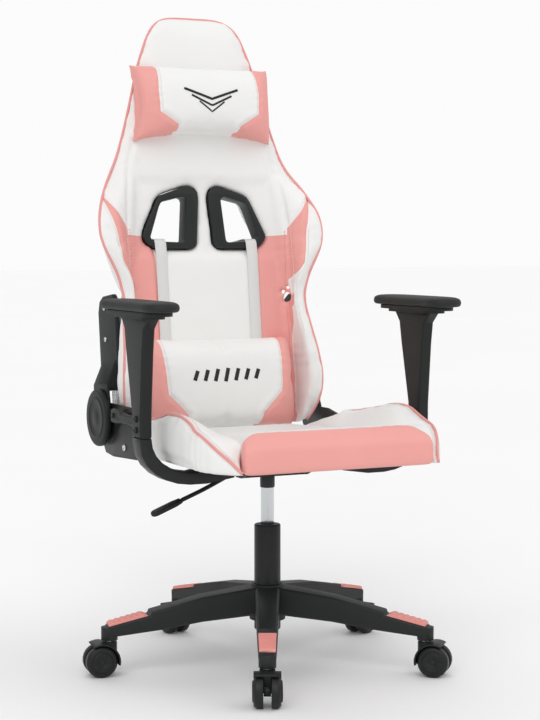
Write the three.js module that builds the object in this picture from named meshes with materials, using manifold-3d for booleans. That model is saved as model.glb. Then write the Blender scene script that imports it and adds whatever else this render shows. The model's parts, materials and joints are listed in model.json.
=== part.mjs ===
// A racing-style gaming chair: five-star base on twin-wheel casters, gas lift, bucket seat,
// fixed armrests and a reclining winged backrest with a lumbar cushion and a neck pillow.
// Millimetres. +Z is up, the chair faces -Y, and its own right-hand side is -X.
import * as THREE from "three";
import { mergeVertices } from "three/addons/utils/BufferGeometryUtils.js";
import Module from "manifold-3d";

// The gas-lift column stands here, so that the middle of the whole chair's footprint is the origin.
const COLUMN_X = 15.5;
const COLUMN_Y = -41;

// Clearances: one between fixed neighbours, one round turning or sliding pieces.
const GAP = 0.4;
const RUN = 0.6;

// Five-star base.
const ARM_COUNT = 5;
const BASE_TURN = -116;
const BASE_REACH = 307;
const HUB_RADIUS = 34;
const ARM_ROOT_WIDTH = 46;
const ARM_TIP_WIDTH = 31;
const ARM_WALL = 5;
const ARM_POCKETS = [[62, 150], [156, 222], [228, BASE_REACH - 23]];
const SOCKET_RADIUS = 15.5;
const GRIP_THICKNESS = 6;
const GRIP_START = 235;
const GRIP_RIBS = 6;

// Casters.
const WHEEL_RADIUS = 29;
const WHEEL_SIDES = 24;
const WHEEL_WIDTH = 17;
const CASTER_WIDTH = 48;
const CASTER_TRAIL = 18;
const STEM_RADIUS = 5.5;
const STEM_INSERT = 22;
const NECK_RADIUS = 14;
const AXLE_RADIUS = 4;
const FENDER_GAP = 2.5;
const FENDER_WALL = 3;

// The arms' sockets clear the wheels, and the hub stands above the sockets.
const SOCKET_BOTTOM = 2 * WHEEL_RADIUS + 8.5;
const HUB_TOP = SOCKET_BOTTOM + 86.5;
const HUB_BOTTOM = SOCKET_BOTTOM + 19.5;

// Gas lift.
const TUBE_RADIUS = 25;
const TUBE_BOTTOM = SOCKET_BOTTOM - 0.5;
const TUBE_TOP = 267;
const TUBE_WALL = 3;
const CYLINDER_RADIUS = 12.5;
const CYLINDER_BOTTOM = 140;
const NECK_BOTTOM = 337;
const GAS_NECK_RADIUS = 14;
const GAS_NECK_TOP = 372;
const ROD_RADIUS = 5;
const ROD_TOP = 255;
const BUTTON_RADIUS = 4;
const BUTTON_RISE = 6;

// Lift plate under the seat, and the height lever.
const PLATE_HALF_WIDTH = 70;
const PLATE_HALF_LENGTH = 90;
const PLATE_BOTTOM = 361;
const FLANGE_BOTTOM = 385;
const PLATE_TOP = 395;
const PLATE_WALL = 4;
const LEVER_PIVOT_X = -45;
const LEVER_PIN_RADIUS = 3;
const LEVER_PIN_HALF = 14;
const LUG_THICKNESS = 4;
const LUG_HALF_WIDTH = 7;
const LEVER_ROD_RADIUS = 4;
const PADDLE_LENGTH = 64;
const PADDLE_WIDTH = 22;

// Seat.
const SEAT_BOTTOM = 403;
const SEAT_FRONT = -303;
const PAN_STEP = 40;
const SEAT_REAR = 192;
const PAD_HALF_WIDTH = 165;
const FRONT_HALF_WIDTH = 189;
const BOLSTER_HALF_WIDTH = 238;
const SEAT_REAR_HALF_WIDTH = 220;
const PAN_THICKNESS = 7;

// Armrests.
const ARM_X = Math.max(BOLSTER_HALF_WIDTH + 47, SEAT_REAR_HALF_WIDTH + 65);
const ARM_Y = -66;
const ARM_FOOT_Y = -76;
const ARM_PAD_TOP = 694;
const ARM_PAD_THICKNESS = 16;
const ARM_PAD_LENGTH = 265;
const ARM_PAD_WIDTH = 68;
const POST_THICKNESS = 23;
const POST_BOTTOM = 452;
const LEG_WIDTH = 40;
const LEG_THICKNESS = 22;

// Recline hinge.
const HINGE_Y = 266;
const HINGE_Z = 455;
const BRACKET_X = SEAT_REAR_HALF_WIDTH + 2;
const BRACKET_THICKNESS = 5;
const STUD_RADIUS = 8;
const CAP_RADIUS = 56;
const SMALL_CAP_RADIUS = 24;
const CAP_THICKNESS = 12;
const LEVER_Y = 172;
const LEVER_Z = 468;
const LEVER_LENGTH = 150;
const LEVER_STUD_RADIUS = 5;

// Backrest, in its own leaning frame: x across, y to the rear, z up from the recline hinge.
const BACK_LEAN = 6.7;
const BACK_FACE = -19.4;
const CUSHION_REAR = 22;
const FRAME_THICKNESS = 14;
const FRAME_INSET = 14;
const FRAME_TUBE = 20;
const COVER_INSET = 7;
const BACK_REAR = 50;
const CORE_HALF_WIDTH = 198;
const WING_THICKNESS = 24;
const WING_FLARE = 0.5;
const UPRIGHT_FRONT = -46;
const UPRIGHT_REAR = 50;
const UPRIGHT_TOP = 240;
const UPRIGHT_THICKNESS = 10;
const BEZEL_PROUD = 4;
const BEZEL_DEPTH = 36;
const STRAP_X = 100;
const STRAP_WIDTH = 24;
const STRAP_THICKNESS = 2;

// Cushions.
const LUMBAR_HEIGHT = 184;
const LUMBAR_BOTTOM = -30;
const LUMBAR_DEPTH = 68;
const PILLOW_HALF_WIDTH = 150;
const PILLOW_BOTTOM = 538;
const PILLOW_TOP = 697;
const PILLOW_DEPTH = 66;

const MATERIALS = {
  whiteLeather: new THREE.MeshStandardMaterial({ color: 0xf2f2ef, roughness: 0.45, metalness: 0 }),
  pinkLeather: new THREE.MeshStandardMaterial({ color: 0xeda89f, roughness: 0.45, metalness: 0 }),
  pinkRubber: new THREE.MeshStandardMaterial({ color: 0xeba49c, roughness: 0.6, metalness: 0 }),
  blackPlastic: new THREE.MeshStandardMaterial({ color: 0x262827, roughness: 0.5, metalness: 0 }),
  blackSteel: new THREE.MeshStandardMaterial({ color: 0x1f2120, roughness: 0.4, metalness: 0.4 }),
  brightSteel: new THREE.MeshStandardMaterial({ color: 0xb9bec0, roughness: 0.25, metalness: 0.9 }),
  webbing: new THREE.MeshStandardMaterial({ color: 0xefefec, roughness: 0.8, metalness: 0 }),
};

const wasm = await Module();
wasm.setup();

// A closed three.js geometry as a manifold-3d solid.
function solidOf(geometry) {
  const bare = geometry.index ? geometry.toNonIndexed() : geometry.clone();
  bare.deleteAttribute("normal");
  bare.deleteAttribute("uv");
  const merged = mergeVertices(bare, 1e-3);
  return new wasm.Manifold(
    new wasm.Mesh({
      numProp: 3,
      vertProperties: merged.attributes.position.array,
      triVerts: new Uint32Array(merged.index.array),
    }),
  );
}

// A manifold-3d solid as a three.js geometry.
function geometryOf(solid) {
  const mesh = solid.getMesh();
  return new THREE.BufferGeometry()
    .setAttribute("position", new THREE.BufferAttribute(new Float32Array(mesh.vertProperties), 3))
    .setIndex(new THREE.BufferAttribute(new Uint32Array(mesh.triVerts), 1));
}

function join(...geometries) {
  return geometryOf(geometries.map(solidOf).reduce((sum, next) => sum.add(next)));
}

function cut(geometry, ...tools) {
  return geometryOf(tools.map(solidOf).reduce((rest, tool) => rest.subtract(tool), solidOf(geometry)));
}

function outline(points) {
  return new THREE.Shape(points.map(([x, y]) => new THREE.Vector2(x, y)));
}

// A prism of an outline, centred on its middle plane, with its edges chamfered by `chamfer`.
function prism(shape, thickness, chamfer = 0) {
  return new THREE.ExtrudeGeometry(shape, {
    depth: thickness - 2 * chamfer,
    bevelEnabled: chamfer > 0,
    bevelThickness: chamfer,
    bevelSize: chamfer,
    bevelOffset: -chamfer,
    bevelSegments: 1,
    curveSegments: 6,
  }).translate(0, 0, chamfer - thickness / 2);
}

// The same prism with its outline in the (y, z) plane, running along x.
function sidePrism(points, thickness, chamfer = 0) {
  const toSide = new THREE.Matrix4().makeBasis(
    new THREE.Vector3(0, 1, 0),
    new THREE.Vector3(0, 0, 1),
    new THREE.Vector3(1, 0, 0),
  );
  return prism(outline(points), thickness, chamfer).applyMatrix4(toSide);
}

// The same prism with its outline in the (x, z) plane, running along y.
function frontPrism(points, thickness, chamfer = 0) {
  return prism(outline(points), thickness, chamfer).rotateX(Math.PI / 2);
}

// A box given by its low and high corners.
function block(low, high) {
  const size = high.map((value, axis) => value - low[axis]);
  const middle = high.map((value, axis) => (value + low[axis]) / 2);
  return new THREE.BoxGeometry(...size).translate(...middle);
}

// A solid turned about the z axis from [radius, height] points.
function turned(points, sides = 24) {
  const profile = points.map(([radius, height]) => new THREE.Vector2(radius, height));
  return new THREE.LatheGeometry(profile, sides).rotateX(Math.PI / 2);
}

// A turned ring: its profile closes on itself.
function turnedRing(points, sides = 24) {
  return turned([...points, points[0]], sides);
}

function rod(radius, low, high, sides = 24) {
  return turned([[0, low], [radius, low], [radius, high], [0, high]], sides);
}

// A solid skinned over rings of [x, y, z] points, flat at both ends.
function skinned(rings) {
  const count = rings[0].length;
  const positions = rings.flat(2);
  const faces = [];
  for (let ring = 0; ring + 1 < rings.length; ring += 1) {
    for (let i = 0; i < count; i += 1) {
      const j = (i + 1) % count;
      const a = ring * count + i;
      const b = ring * count + j;
      faces.push(a, b, b + count, a, b + count, a + count);
    }
  }
  const last = (rings.length - 1) * count;
  faces.push(...capOf(rings[0]).flatMap(([a, b, c]) => [c, b, a]));
  faces.push(...capOf(rings[rings.length - 1]).flatMap(([a, b, c]) => [last + a, last + b, last + c]));
  const geometry = new THREE.BufferGeometry();
  geometry.setAttribute("position", new THREE.Float32BufferAttribute(positions, 3));
  geometry.setIndex(faces);
  return volumeOf(geometry) < 0 ? flipped(geometry) : geometry;
}

// Triangles over one ring, turned the way the ring itself runs.
function capOf(ring) {
  const flatAxis = [0, 1, 2].find((axis) => ring.every((point) => point[axis] === ring[0][axis]));
  const [u, v] = [(flatAxis + 1) % 3, (flatAxis + 2) % 3];
  const flat = ring.map((point) => new THREE.Vector2(point[u], point[v]));
  const clockwise = THREE.ShapeUtils.isClockWise(flat);
  const faces = THREE.ShapeUtils.triangulateShape(flat, []);
  return clockwise ? faces.map(([a, b, c]) => [c, b, a]) : faces;
}

function volumeOf(geometry) {
  const position = geometry.attributes.position;
  const index = geometry.index.array;
  const corners = [new THREE.Vector3(), new THREE.Vector3(), new THREE.Vector3()];
  let total = 0;
  for (let i = 0; i < index.length; i += 3) {
    corners.forEach((corner, k) => corner.fromBufferAttribute(position, index[i + k]));
    total += corners[0].dot(corners[1].clone().cross(corners[2])) / 6;
  }
  return total;
}

function flipped(geometry) {
  const index = geometry.index.array;
  for (let i = 0; i < index.length; i += 3) {
    [index[i + 1], index[i + 2]] = [index[i + 2], index[i + 1]];
  }
  return geometry;
}

function part(name, geometry, material) {
  const mesh = new THREE.Mesh(geometry, material.clone());
  mesh.name = name;
  return mesh;
}

// `side` is -1 on the chair's right and +1 on its left, here and below.
function sideName(stem, side) {
  return `${stem}_${side < 0 ? "right" : "left"}`;
}

function groupAt(x, y, z, ...children) {
  const group = new THREE.Group();
  group.position.set(x, y, z);
  group.add(...children);
  return group;
}

// Straight-line reading of a table of [key, value] rows.
function along(table, key) {
  const next = Math.max(1, table.findIndex(([at]) => at >= key));
  const [[k0, v0], [k1, v1]] = [table[next - 1], table[next]];
  return v0 + ((v1 - v0) * (key - k0)) / (k1 - k0);
}

// ---- Base ----

// Height of the top of a base arm at a distance from the column.
const ARM_TOP = [
  [30, HUB_TOP - 2],
  [133, HUB_TOP - 16],
  [GRIP_START, HUB_TOP - 38],
  [BASE_REACH + 11, HUB_TOP - 56],
];
const ARM_UNDERSIDE = [
  [30, HUB_BOTTOM + 12],
  [133, HUB_BOTTOM + 5],
  [210, HUB_BOTTOM - 5],
  [BASE_REACH + 11, HUB_BOTTOM - 14],
];

function armWidthAt(distance) {
  const share = (distance - HUB_RADIUS) / (BASE_REACH - HUB_RADIUS);
  return ARM_ROOT_WIDTH + (ARM_TIP_WIDTH - ARM_ROOT_WIDTH) * share;
}

// Narrows a prism that runs outwards along x so that its width follows the arm.
function tapered(geometry) {
  const position = geometry.attributes.position;
  for (let i = 0; i < position.count; i += 1) {
    position.setY(i, (position.getY(i) * armWidthAt(position.getX(i))) / ARM_ROOT_WIDTH);
  }
  return geometry;
}

function armPocket(start, end) {
  const roof = (distance) => along(ARM_TOP, distance) - GRIP_THICKNESS - ARM_WALL;
  const open = SOCKET_BOTTOM - 6.5;
  const profile = [[start, open], [end, open], [end, roof(end)], [start, roof(start)]];
  return tapered(frontPrism(profile, ARM_ROOT_WIDTH - 2 * ARM_WALL));
}

function baseArm() {
  const grip = GRIP_START - 3;
  const tip = BASE_REACH + 9;
  const profile = [
    [20, along(ARM_UNDERSIDE, 30)],
    [133, along(ARM_UNDERSIDE, 133)],
    [210, along(ARM_UNDERSIDE, 210)],
    [BASE_REACH, along(ARM_UNDERSIDE, BASE_REACH)],
    [tip, along(ARM_TOP, tip) - GRIP_THICKNESS - 6],
    [BASE_REACH + 4, along(ARM_TOP, BASE_REACH + 4) - GRIP_THICKNESS],
    [grip, along(ARM_TOP, grip) - GRIP_THICKNESS],
    [grip - 3, along(ARM_TOP, grip - 3)],
    [133, along(ARM_TOP, 133)],
    [20, along(ARM_TOP, 30)],
  ];
  const beam = tapered(frontPrism(profile, ARM_ROOT_WIDTH, 3.5));
  const bossTop = along(ARM_TOP, BASE_REACH) - GRIP_THICKNESS - 3;
  const boss = rod(SOCKET_RADIUS, SOCKET_BOTTOM, bossTop, 16);
  boss.translate(BASE_REACH, 0, 0);
  const socket = rod(STEM_RADIUS + RUN, SOCKET_BOTTOM - 1, SOCKET_BOTTOM + STEM_INSERT + 1, 12);
  socket.translate(BASE_REACH, 0, 0);
  return cut(join(beam, boss), socket, ...ARM_POCKETS.map(([start, end]) => armPocket(start, end)));
}

function starBase() {
  const hub = turned([
    [0, HUB_BOTTOM],
    [HUB_RADIUS, HUB_BOTTOM],
    [HUB_RADIUS + 2, HUB_TOP - 12],
    [HUB_RADIUS - 3, HUB_TOP],
    [0, HUB_TOP],
  ]);
  const arms = [];
  for (let k = 0; k < ARM_COUNT; k += 1) arms.push(baseArm().rotateZ((k * 2 * Math.PI) / ARM_COUNT));
  const bore = rod(TUBE_RADIUS + GAP, 0, HUB_TOP + 1);
  return part("star_base", cut(join(hub, ...arms), bore), MATERIALS.blackPlastic);
}

// A ribbed tread on the outer end of an arm, with a sloping inner end.
function footGrip(k) {
  const end = BASE_REACH + 3;
  const floor = (distance) => along(ARM_TOP, distance) - GRIP_THICKNESS + GAP;
  const profile = [[GRIP_START + 1, floor(GRIP_START + 1)], [end, floor(end)]];
  const step = (end - GRIP_START - 9) / (2 * GRIP_RIBS);
  for (let i = 2 * GRIP_RIBS; i >= 0; i -= 1) {
    const distance = GRIP_START + 9 + i * step - 1;
    profile.push([distance, along(ARM_TOP, distance) + (i % 2 ? 0.6 : -1.2)]);
  }
  const grip = tapered(frontPrism(profile, ARM_ROOT_WIDTH - 3, 1));
  return part(`foot_grip_${k}`, grip, MATERIALS.pinkRubber);
}

// ---- Casters, built with the stem on their own z axis and trailing along +x ----

// The axle stands so high that a flat of the wheel rim lies on the floor.
const AXLE_HEIGHT = WHEEL_RADIUS * Math.cos(Math.PI / WHEEL_SIDES);

function casterStem(k) {
  const stem = turned([
    [0, AXLE_HEIGHT + WHEEL_RADIUS],
    [STEM_RADIUS, AXLE_HEIGHT + WHEEL_RADIUS],
    [STEM_RADIUS, SOCKET_BOTTOM - 3],
    [STEM_RADIUS + 3.5, SOCKET_BOTTOM - 3],
    [STEM_RADIUS + 3.5, SOCKET_BOTTOM - 0.6],
    [STEM_RADIUS, SOCKET_BOTTOM - 0.6],
    [STEM_RADIUS, SOCKET_BOTTOM + STEM_INSERT],
    [0, SOCKET_BOTTOM + STEM_INSERT],
  ], 12);
  return part(`caster_stem_${k}`, stem, MATERIALS.brightSteel);
}

// A curved fender over the hub side of the wheels, a web between them, the neck and the axle.
function casterHood(k) {
  const inner = WHEEL_RADIUS + FENDER_GAP;
  const outer = inner + FENDER_WALL;
  const from = THREE.MathUtils.degToRad(62);
  const to = THREE.MathUtils.degToRad(192);
  const fender = new THREE.Shape();
  fender.absarc(0, 0, outer, from, to, false);
  fender.absarc(0, 0, inner, to, from, true);
  const web = new THREE.Shape();
  web.absarc(0, 0, outer - 1, from, to, false);
  web.absarc(0, 0, AXLE_RADIUS + 5, to, from + 2 * Math.PI, false);
  const webWidth = CASTER_WIDTH - 2 * WHEEL_WIDTH - 2 * RUN;
  const toAxle = (geometry) => geometry.rotateX(Math.PI / 2).translate(CASTER_TRAIL, 0, AXLE_HEIGHT);
  const wheelSpace = toAxle(rod(inner, -CASTER_WIDTH, CASTER_WIDTH, 24));
  const neck = cut(rod(NECK_RADIUS, AXLE_HEIGHT, SOCKET_BOTTOM - 3.5, 20), wheelSpace);
  const axle = toAxle(rod(AXLE_RADIUS, -CASTER_WIDTH / 2 + 4, CASTER_WIDTH / 2 - 4, 12));
  const bore = rod(STEM_RADIUS + GAP, AXLE_HEIGHT + WHEEL_RADIUS - 0.5, SOCKET_BOTTOM, 12);
  const body = join(toAxle(prism(fender, CASTER_WIDTH)), toAxle(prism(web, webWidth)), axle, neck);
  return part(`caster_hood_${k}`, cut(body, bore), MATERIALS.blackPlastic);
}

// One wheel disc with its rim chamfered outside; `side` is -1 for the left and +1 for the right.
function casterWheel(k, side) {
  const bore = AXLE_RADIUS + RUN;
  const boreDepth = WHEEL_WIDTH - 3;
  const wheel = turned([
    [0, boreDepth],
    [bore, boreDepth],
    [bore, 0],
    [WHEEL_RADIUS, 0],
    [WHEEL_RADIUS, WHEEL_WIDTH - 4],
    [WHEEL_RADIUS - 4, WHEEL_WIDTH],
    [0, WHEEL_WIDTH],
  ], WHEEL_SIDES);
  wheel.rotateZ(Math.PI / WHEEL_SIDES);
  wheel.rotateX((side * Math.PI) / 2);
  wheel.translate(CASTER_TRAIL, -side * (CASTER_WIDTH / 2 - WHEEL_WIDTH), AXLE_HEIGHT);
  const name = `caster_wheel_${k}_${side < 0 ? "left" : "right"}`;
  return part(name, wheel, MATERIALS.blackPlastic);
}

function baseAssembly() {
  const base = groupAt(0, 0, 0, starBase());
  for (let k = 1; k <= ARM_COUNT; k += 1) {
    const caster = groupAt(BASE_REACH, 0, 0, casterStem(k), casterHood(k));
    caster.add(casterWheel(k, -1), casterWheel(k, 1));
    const arm = groupAt(0, 0, 0, footGrip(k), caster);
    arm.rotation.z = ((k - 1) * 2 * Math.PI) / ARM_COUNT;
    base.add(arm);
  }
  base.rotation.z = THREE.MathUtils.degToRad(BASE_TURN);
  return base;
}

// ---- Gas lift ----

function gasLiftTube() {
  const lip = CYLINDER_RADIUS + RUN;
  const inner = TUBE_RADIUS - TUBE_WALL;
  const profile = [
    [ROD_RADIUS + RUN, TUBE_BOTTOM],
    [TUBE_RADIUS - 1.5, TUBE_BOTTOM],
    [TUBE_RADIUS, TUBE_BOTTOM + 2],
    [TUBE_RADIUS, TUBE_TOP - 2],
    [TUBE_RADIUS - 1.5, TUBE_TOP],
    [lip, TUBE_TOP],
    [lip, TUBE_TOP - 14],
    [inner, TUBE_TOP - 18],
    [inner, TUBE_BOTTOM + 4],
    [ROD_RADIUS + RUN, TUBE_BOTTOM + 4],
  ];
  return part("gas_lift_tube", turnedRing(profile), MATERIALS.blackSteel);
}

function pistonRod() {
  const profile = [
    [0, TUBE_BOTTOM - 4],
    [ROD_RADIUS, TUBE_BOTTOM - 4],
    [ROD_RADIUS, TUBE_BOTTOM + 4 + RUN],
    [ROD_RADIUS + 6, TUBE_BOTTOM + 4 + RUN],
    [ROD_RADIUS + 6, TUBE_BOTTOM + 9],
    [ROD_RADIUS, TUBE_BOTTOM + 9],
    [ROD_RADIUS, ROD_TOP],
    [0, ROD_TOP],
  ];
  return part("piston_rod", turned(profile, 24), MATERIALS.brightSteel);
}

// The bright cylinder with its black tapered neck, bored for the rod below and the button above.
function gasCylinder() {
  const rodBore = ROD_RADIUS + RUN;
  const buttonBore = BUTTON_RADIUS + RUN;
  const outside = turned([
    [0, CYLINDER_BOTTOM],
    [CYLINDER_RADIUS, CYLINDER_BOTTOM],
    [CYLINDER_RADIUS, NECK_BOTTOM],
    [GAS_NECK_RADIUS - 0.4, NECK_BOTTOM],
    [GAS_NECK_RADIUS, NECK_BOTTOM + 3],
    [GAS_NECK_RADIUS, GAS_NECK_TOP],
    [0, GAS_NECK_TOP],
  ]);
  const lower = rod(rodBore, CYLINDER_BOTTOM - 1, NECK_BOTTOM - 4);
  const upper = rod(buttonBore, GAS_NECK_TOP - 18, GAS_NECK_TOP + 1);
  return part("gas_cylinder", cut(outside, lower, upper), MATERIALS.brightSteel);
}

function releaseButton() {
  const button = rod(BUTTON_RADIUS, GAS_NECK_TOP - 9, GAS_NECK_TOP + BUTTON_RISE, 16);
  return part("release_button", button, MATERIALS.brightSteel);
}

// ---- Lift plate and height lever ----

// The axle of the lever stands so high that the lever's end just clears the button.
const LEVER_END_Z = GAS_NECK_TOP + BUTTON_RISE + LEVER_ROD_RADIUS + GAP;
const LEVER_PIVOT_Z = LEVER_END_Z - 3;

function liftPlate() {
  const half = PLATE_HALF_WIDTH;
  const length = PLATE_HALF_LENGTH;
  const top = block([-half, -length, PLATE_TOP - PLATE_WALL], [half, length, PLATE_TOP]);
  const flangeOutline = [
    [-length, PLATE_TOP], [-length, FLANGE_BOTTOM], [-32, PLATE_BOTTOM],
    [32, PLATE_BOTTOM], [length, FLANGE_BOTTOM], [length, PLATE_TOP],
  ];
  const right = sidePrism(flangeOutline, PLATE_WALL).translate(-half + PLATE_WALL / 2, 0, 0);
  const left = sidePrism(flangeOutline, PLATE_WALL).translate(half - PLATE_WALL / 2, 0, 0);
  const bridge = block([-half, -30, PLATE_BOTTOM], [half, 30, PLATE_BOTTOM + PLATE_WALL]);
  const boss = rod(GAS_NECK_RADIUS + 7, PLATE_BOTTOM, GAS_NECK_TOP + 2);
  const socket = rod(GAS_NECK_RADIUS + GAP, PLATE_BOTTOM - 1, GAS_NECK_TOP + 3);
  const lug = (low) => block(
    [LEVER_PIVOT_X - LUG_HALF_WIDTH, low, LEVER_PIVOT_Z - LUG_HALF_WIDTH],
    [LEVER_PIVOT_X + LUG_HALF_WIDTH, low + LUG_THICKNESS, PLATE_TOP - 1],
  );
  const pinHole = rod(LEVER_PIN_RADIUS + RUN, -LEVER_PIN_HALF - 6, LEVER_PIN_HALF + 6, 16);
  pinHole.rotateX(Math.PI / 2).translate(LEVER_PIVOT_X, 0, LEVER_PIVOT_Z);
  const slot = block([-half - 1, -8, PLATE_BOTTOM - 1], [LEVER_PIVOT_X - 12, 8, LEVER_PIVOT_Z + 4]);
  const body = join(
    top, right, left, bridge, boss,
    lug(-LEVER_PIN_HALF), lug(LEVER_PIN_HALF - LUG_THICKNESS),
  );
  return part("lift_plate", cut(body, socket, pinHole, slot), MATERIALS.blackSteel);
}

// Where the lever's bent rod runs, from over the button out to the paddle.
const LEVER_ROUTE = [
  [4, 0, LEVER_END_Z],
  [LEVER_PIVOT_X, 0, LEVER_PIVOT_Z],
  [-PLATE_HALF_WIDTH, 0, LEVER_PIVOT_Z - 11],
  [-PLATE_HALF_WIDTH - 60, 0, LEVER_PIVOT_Z - 38],
  [-PLATE_HALF_WIDTH - 106, 0, LEVER_PIVOT_Z - 56],
];

function leverRod() {
  const path = new THREE.CatmullRomCurve3(LEVER_ROUTE.map((at) => new THREE.Vector3(...at)));
  const section = new THREE.Shape();
  section.absarc(0, 0, LEVER_ROD_RADIUS, 0, 2 * Math.PI, false);
  const bent = new THREE.ExtrudeGeometry(section, { steps: 14, curveSegments: 5, extrudePath: path });
  const pin = rod(LEVER_PIN_RADIUS, -LEVER_PIN_HALF, LEVER_PIN_HALF, 12);
  pin.rotateX(Math.PI / 2).translate(LEVER_PIVOT_X, 0, LEVER_PIVOT_Z);
  return part("height_lever_rod", join(bent, pin), MATERIALS.blackSteel);
}

// A flat tongue with a round end, in line with the rod's outer stretch.
function leverPaddle() {
  const [inner, outer] = LEVER_ROUTE.slice(-2).map((at) => new THREE.Vector3(...at));
  const direction = outer.clone().sub(inner).normalize();
  const half = PADDLE_WIDTH / 2;
  const shape = new THREE.Shape();
  shape.moveTo(0, -half + 5);
  shape.lineTo(16, -half);
  shape.lineTo(PADDLE_LENGTH - half, -half);
  shape.absarc(PADDLE_LENGTH - half, 0, half, -Math.PI / 2, Math.PI / 2, false);
  shape.lineTo(16, half);
  shape.lineTo(0, half - 5);
  const side = new THREE.Vector3(0, 1, 0);
  const up = new THREE.Vector3().crossVectors(direction, side);
  const start = outer.clone().addScaledVector(direction, GAP + 0.6);
  const pose = new THREE.Matrix4().makeBasis(direction, side, up).setPosition(start);
  return part("height_lever_paddle", prism(shape, 9, 2).applyMatrix4(pose), MATERIALS.blackPlastic);
}

// ---- Seat ----

const BOLSTER_OUTER = [
  [SEAT_FRONT, FRONT_HALF_WIDTH + 5],
  [SEAT_FRONT + 23, BOLSTER_HALF_WIDTH - 28],
  [SEAT_FRONT + 53, BOLSTER_HALF_WIDTH - 9],
  [SEAT_FRONT + 85, BOLSTER_HALF_WIDTH],
  [30, BOLSTER_HALF_WIDTH],
  [52, SEAT_REAR_HALF_WIDTH],
  [SEAT_REAR, SEAT_REAR_HALF_WIDTH],
];
const BOLSTER_INNER = [
  [SEAT_FRONT, FRONT_HALF_WIDTH],
  [SEAT_FRONT + 28, FRONT_HALF_WIDTH - 4],
  [SEAT_FRONT + 60, PAD_HALF_WIDTH],
  [SEAT_REAR, PAD_HALF_WIDTH],
];
const BOLSTER_CREST = [
  [SEAT_FRONT, SEAT_BOTTOM + 6],
  [SEAT_FRONT + 15, SEAT_BOTTOM + 15],
  [SEAT_FRONT + 38, SEAT_BOTTOM + 33],
  [SEAT_FRONT + 63, SEAT_BOTTOM + 53],
  [SEAT_FRONT + 85, SEAT_BOTTOM + 66],
  [-166, SEAT_BOTTOM + 84],
  [-140, SEAT_BOTTOM + 93],
  [-103, SEAT_BOTTOM + 97],
  [-70, SEAT_BOTTOM + 96],
  [-38, SEAT_BOTTOM + 90],
  [4, SEAT_BOTTOM + 82],
  [52, SEAT_BOTTOM + 72],
  [120, SEAT_BOTTOM + 52],
  [SEAT_REAR, SEAT_BOTTOM + 33],
];
const PAD_TOP = [
  [SEAT_FRONT, SEAT_BOTTOM + 40],
  [SEAT_FRONT + 8, SEAT_BOTTOM + 55],
  [SEAT_FRONT + 23, SEAT_BOTTOM + 62],
  [SEAT_FRONT + 60, SEAT_BOTTOM + 60],
  [-150, SEAT_BOTTOM + 48],
  [0, SEAT_BOTTOM + 33],
  [SEAT_REAR, SEAT_BOTTOM + 24],
];

// Every y at which one of the seat's outlines turns, so that the pad and bolsters share their edges.
const SEAT_TURNS = [...BOLSTER_INNER, ...BOLSTER_OUTER, ...BOLSTER_CREST, ...PAD_TOP].map(([y]) => y);
const SEAT_STATIONS = [...new Set(SEAT_TURNS)].sort((a, b) => a - b);

// The steel pan: a pressed plate with a raised rim down both sides.
function seatFrame() {
  const half = SEAT_REAR_HALF_WIDTH - 2;
  const low = PLATE_TOP + GAP;
  const high = SEAT_BOTTOM - GAP;
  const front = SEAT_FRONT + 75;
  const rearPan = block([-half, PAN_STEP, low], [half, SEAT_REAR - 2, high]);
  const frontPan = block([-half + 28, front, low], [half - 28, PAN_STEP + 1, high]);
  const pan = join(rearPan, frontPan);
  const hollow = (from, to) => block([-half + 60, from, low + 3], [half - 60, to, high + 1]);
  const frame = cut(pan, hollow(front + 30, -20), hollow(20, SEAT_REAR - 30));
  return part("seat_frame", frame, MATERIALS.blackSteel);
}

function seatPad() {
  const rings = SEAT_STATIONS.map((y) => {
    const top = along(PAD_TOP, y);
    const half = along(BOLSTER_INNER, y) - GAP;
    const edge = top - 6;
    return [
      [-half, y, SEAT_BOTTOM],
      [half, y, SEAT_BOTTOM],
      [half, y, edge],
      [half - 14, y, top],
      [-half + 14, y, top],
      [-half, y, edge],
    ];
  });
  return part("seat_pad", skinned(rings), MATERIALS.whiteLeather);
}

function seatBolster(side) {
  const rings = SEAT_STATIONS.map((y) => {
    const crest = along(BOLSTER_CREST, y);
    const inner = along(BOLSTER_INNER, y) + GAP;
    const outer = along(BOLSTER_OUTER, y);
    const seam = Math.min(along(PAD_TOP, y) - 2, crest - 1);
    const rim = Math.max(inner + 2, outer - 15);
    return [
      [side * inner, y, SEAT_BOTTOM],
      [side * (outer - 1), y, SEAT_BOTTOM],
      [side * outer, y, crest - 4],
      [side * rim, y, crest],
      [side * (inner + 1), y, seam],
    ];
  });
  return part(sideName("seat_bolster", side), skinned(rings), MATERIALS.whiteLeather);
}

// ---- Armrests ----

// A bent steel leg from under the seat pan, out and up to the foot of the post.
function armLeg(side) {
  const top = POST_BOTTOM - GAP;
  const outer = ARM_X + LEG_THICKNESS / 2;
  const inner = ARM_X - LEG_THICKNESS / 2;
  const under = PLATE_TOP - 30;
  const seatFace = PLATE_TOP;
  const elbow = under + LEG_THICKNESS;
  const elbowX = ARM_X - 89;
  const shape = new THREE.Shape();
  shape.moveTo(112, seatFace);
  shape.lineTo(112, under + 8);
  shape.lineTo(elbowX - 31, under);
  shape.lineTo(elbowX + 4, under);
  shape.bezierCurveTo(outer - 48, under + 2, outer, under + 30, outer, top - 8);
  shape.lineTo(outer, top);
  shape.lineTo(inner, top);
  shape.bezierCurveTo(inner, under + 50, inner - 30, elbow + 4, elbowX, elbow);
  shape.lineTo(150, seatFace);
  const leg = prism(shape, LEG_WIDTH, 2).rotateX(Math.PI / 2).translate(0, ARM_FOOT_Y, 0);
  if (side < 0) leg.rotateZ(Math.PI).translate(0, 2 * ARM_FOOT_Y, 0);
  return part(sideName("arm_leg", side), leg, MATERIALS.blackSteel);
}

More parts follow.
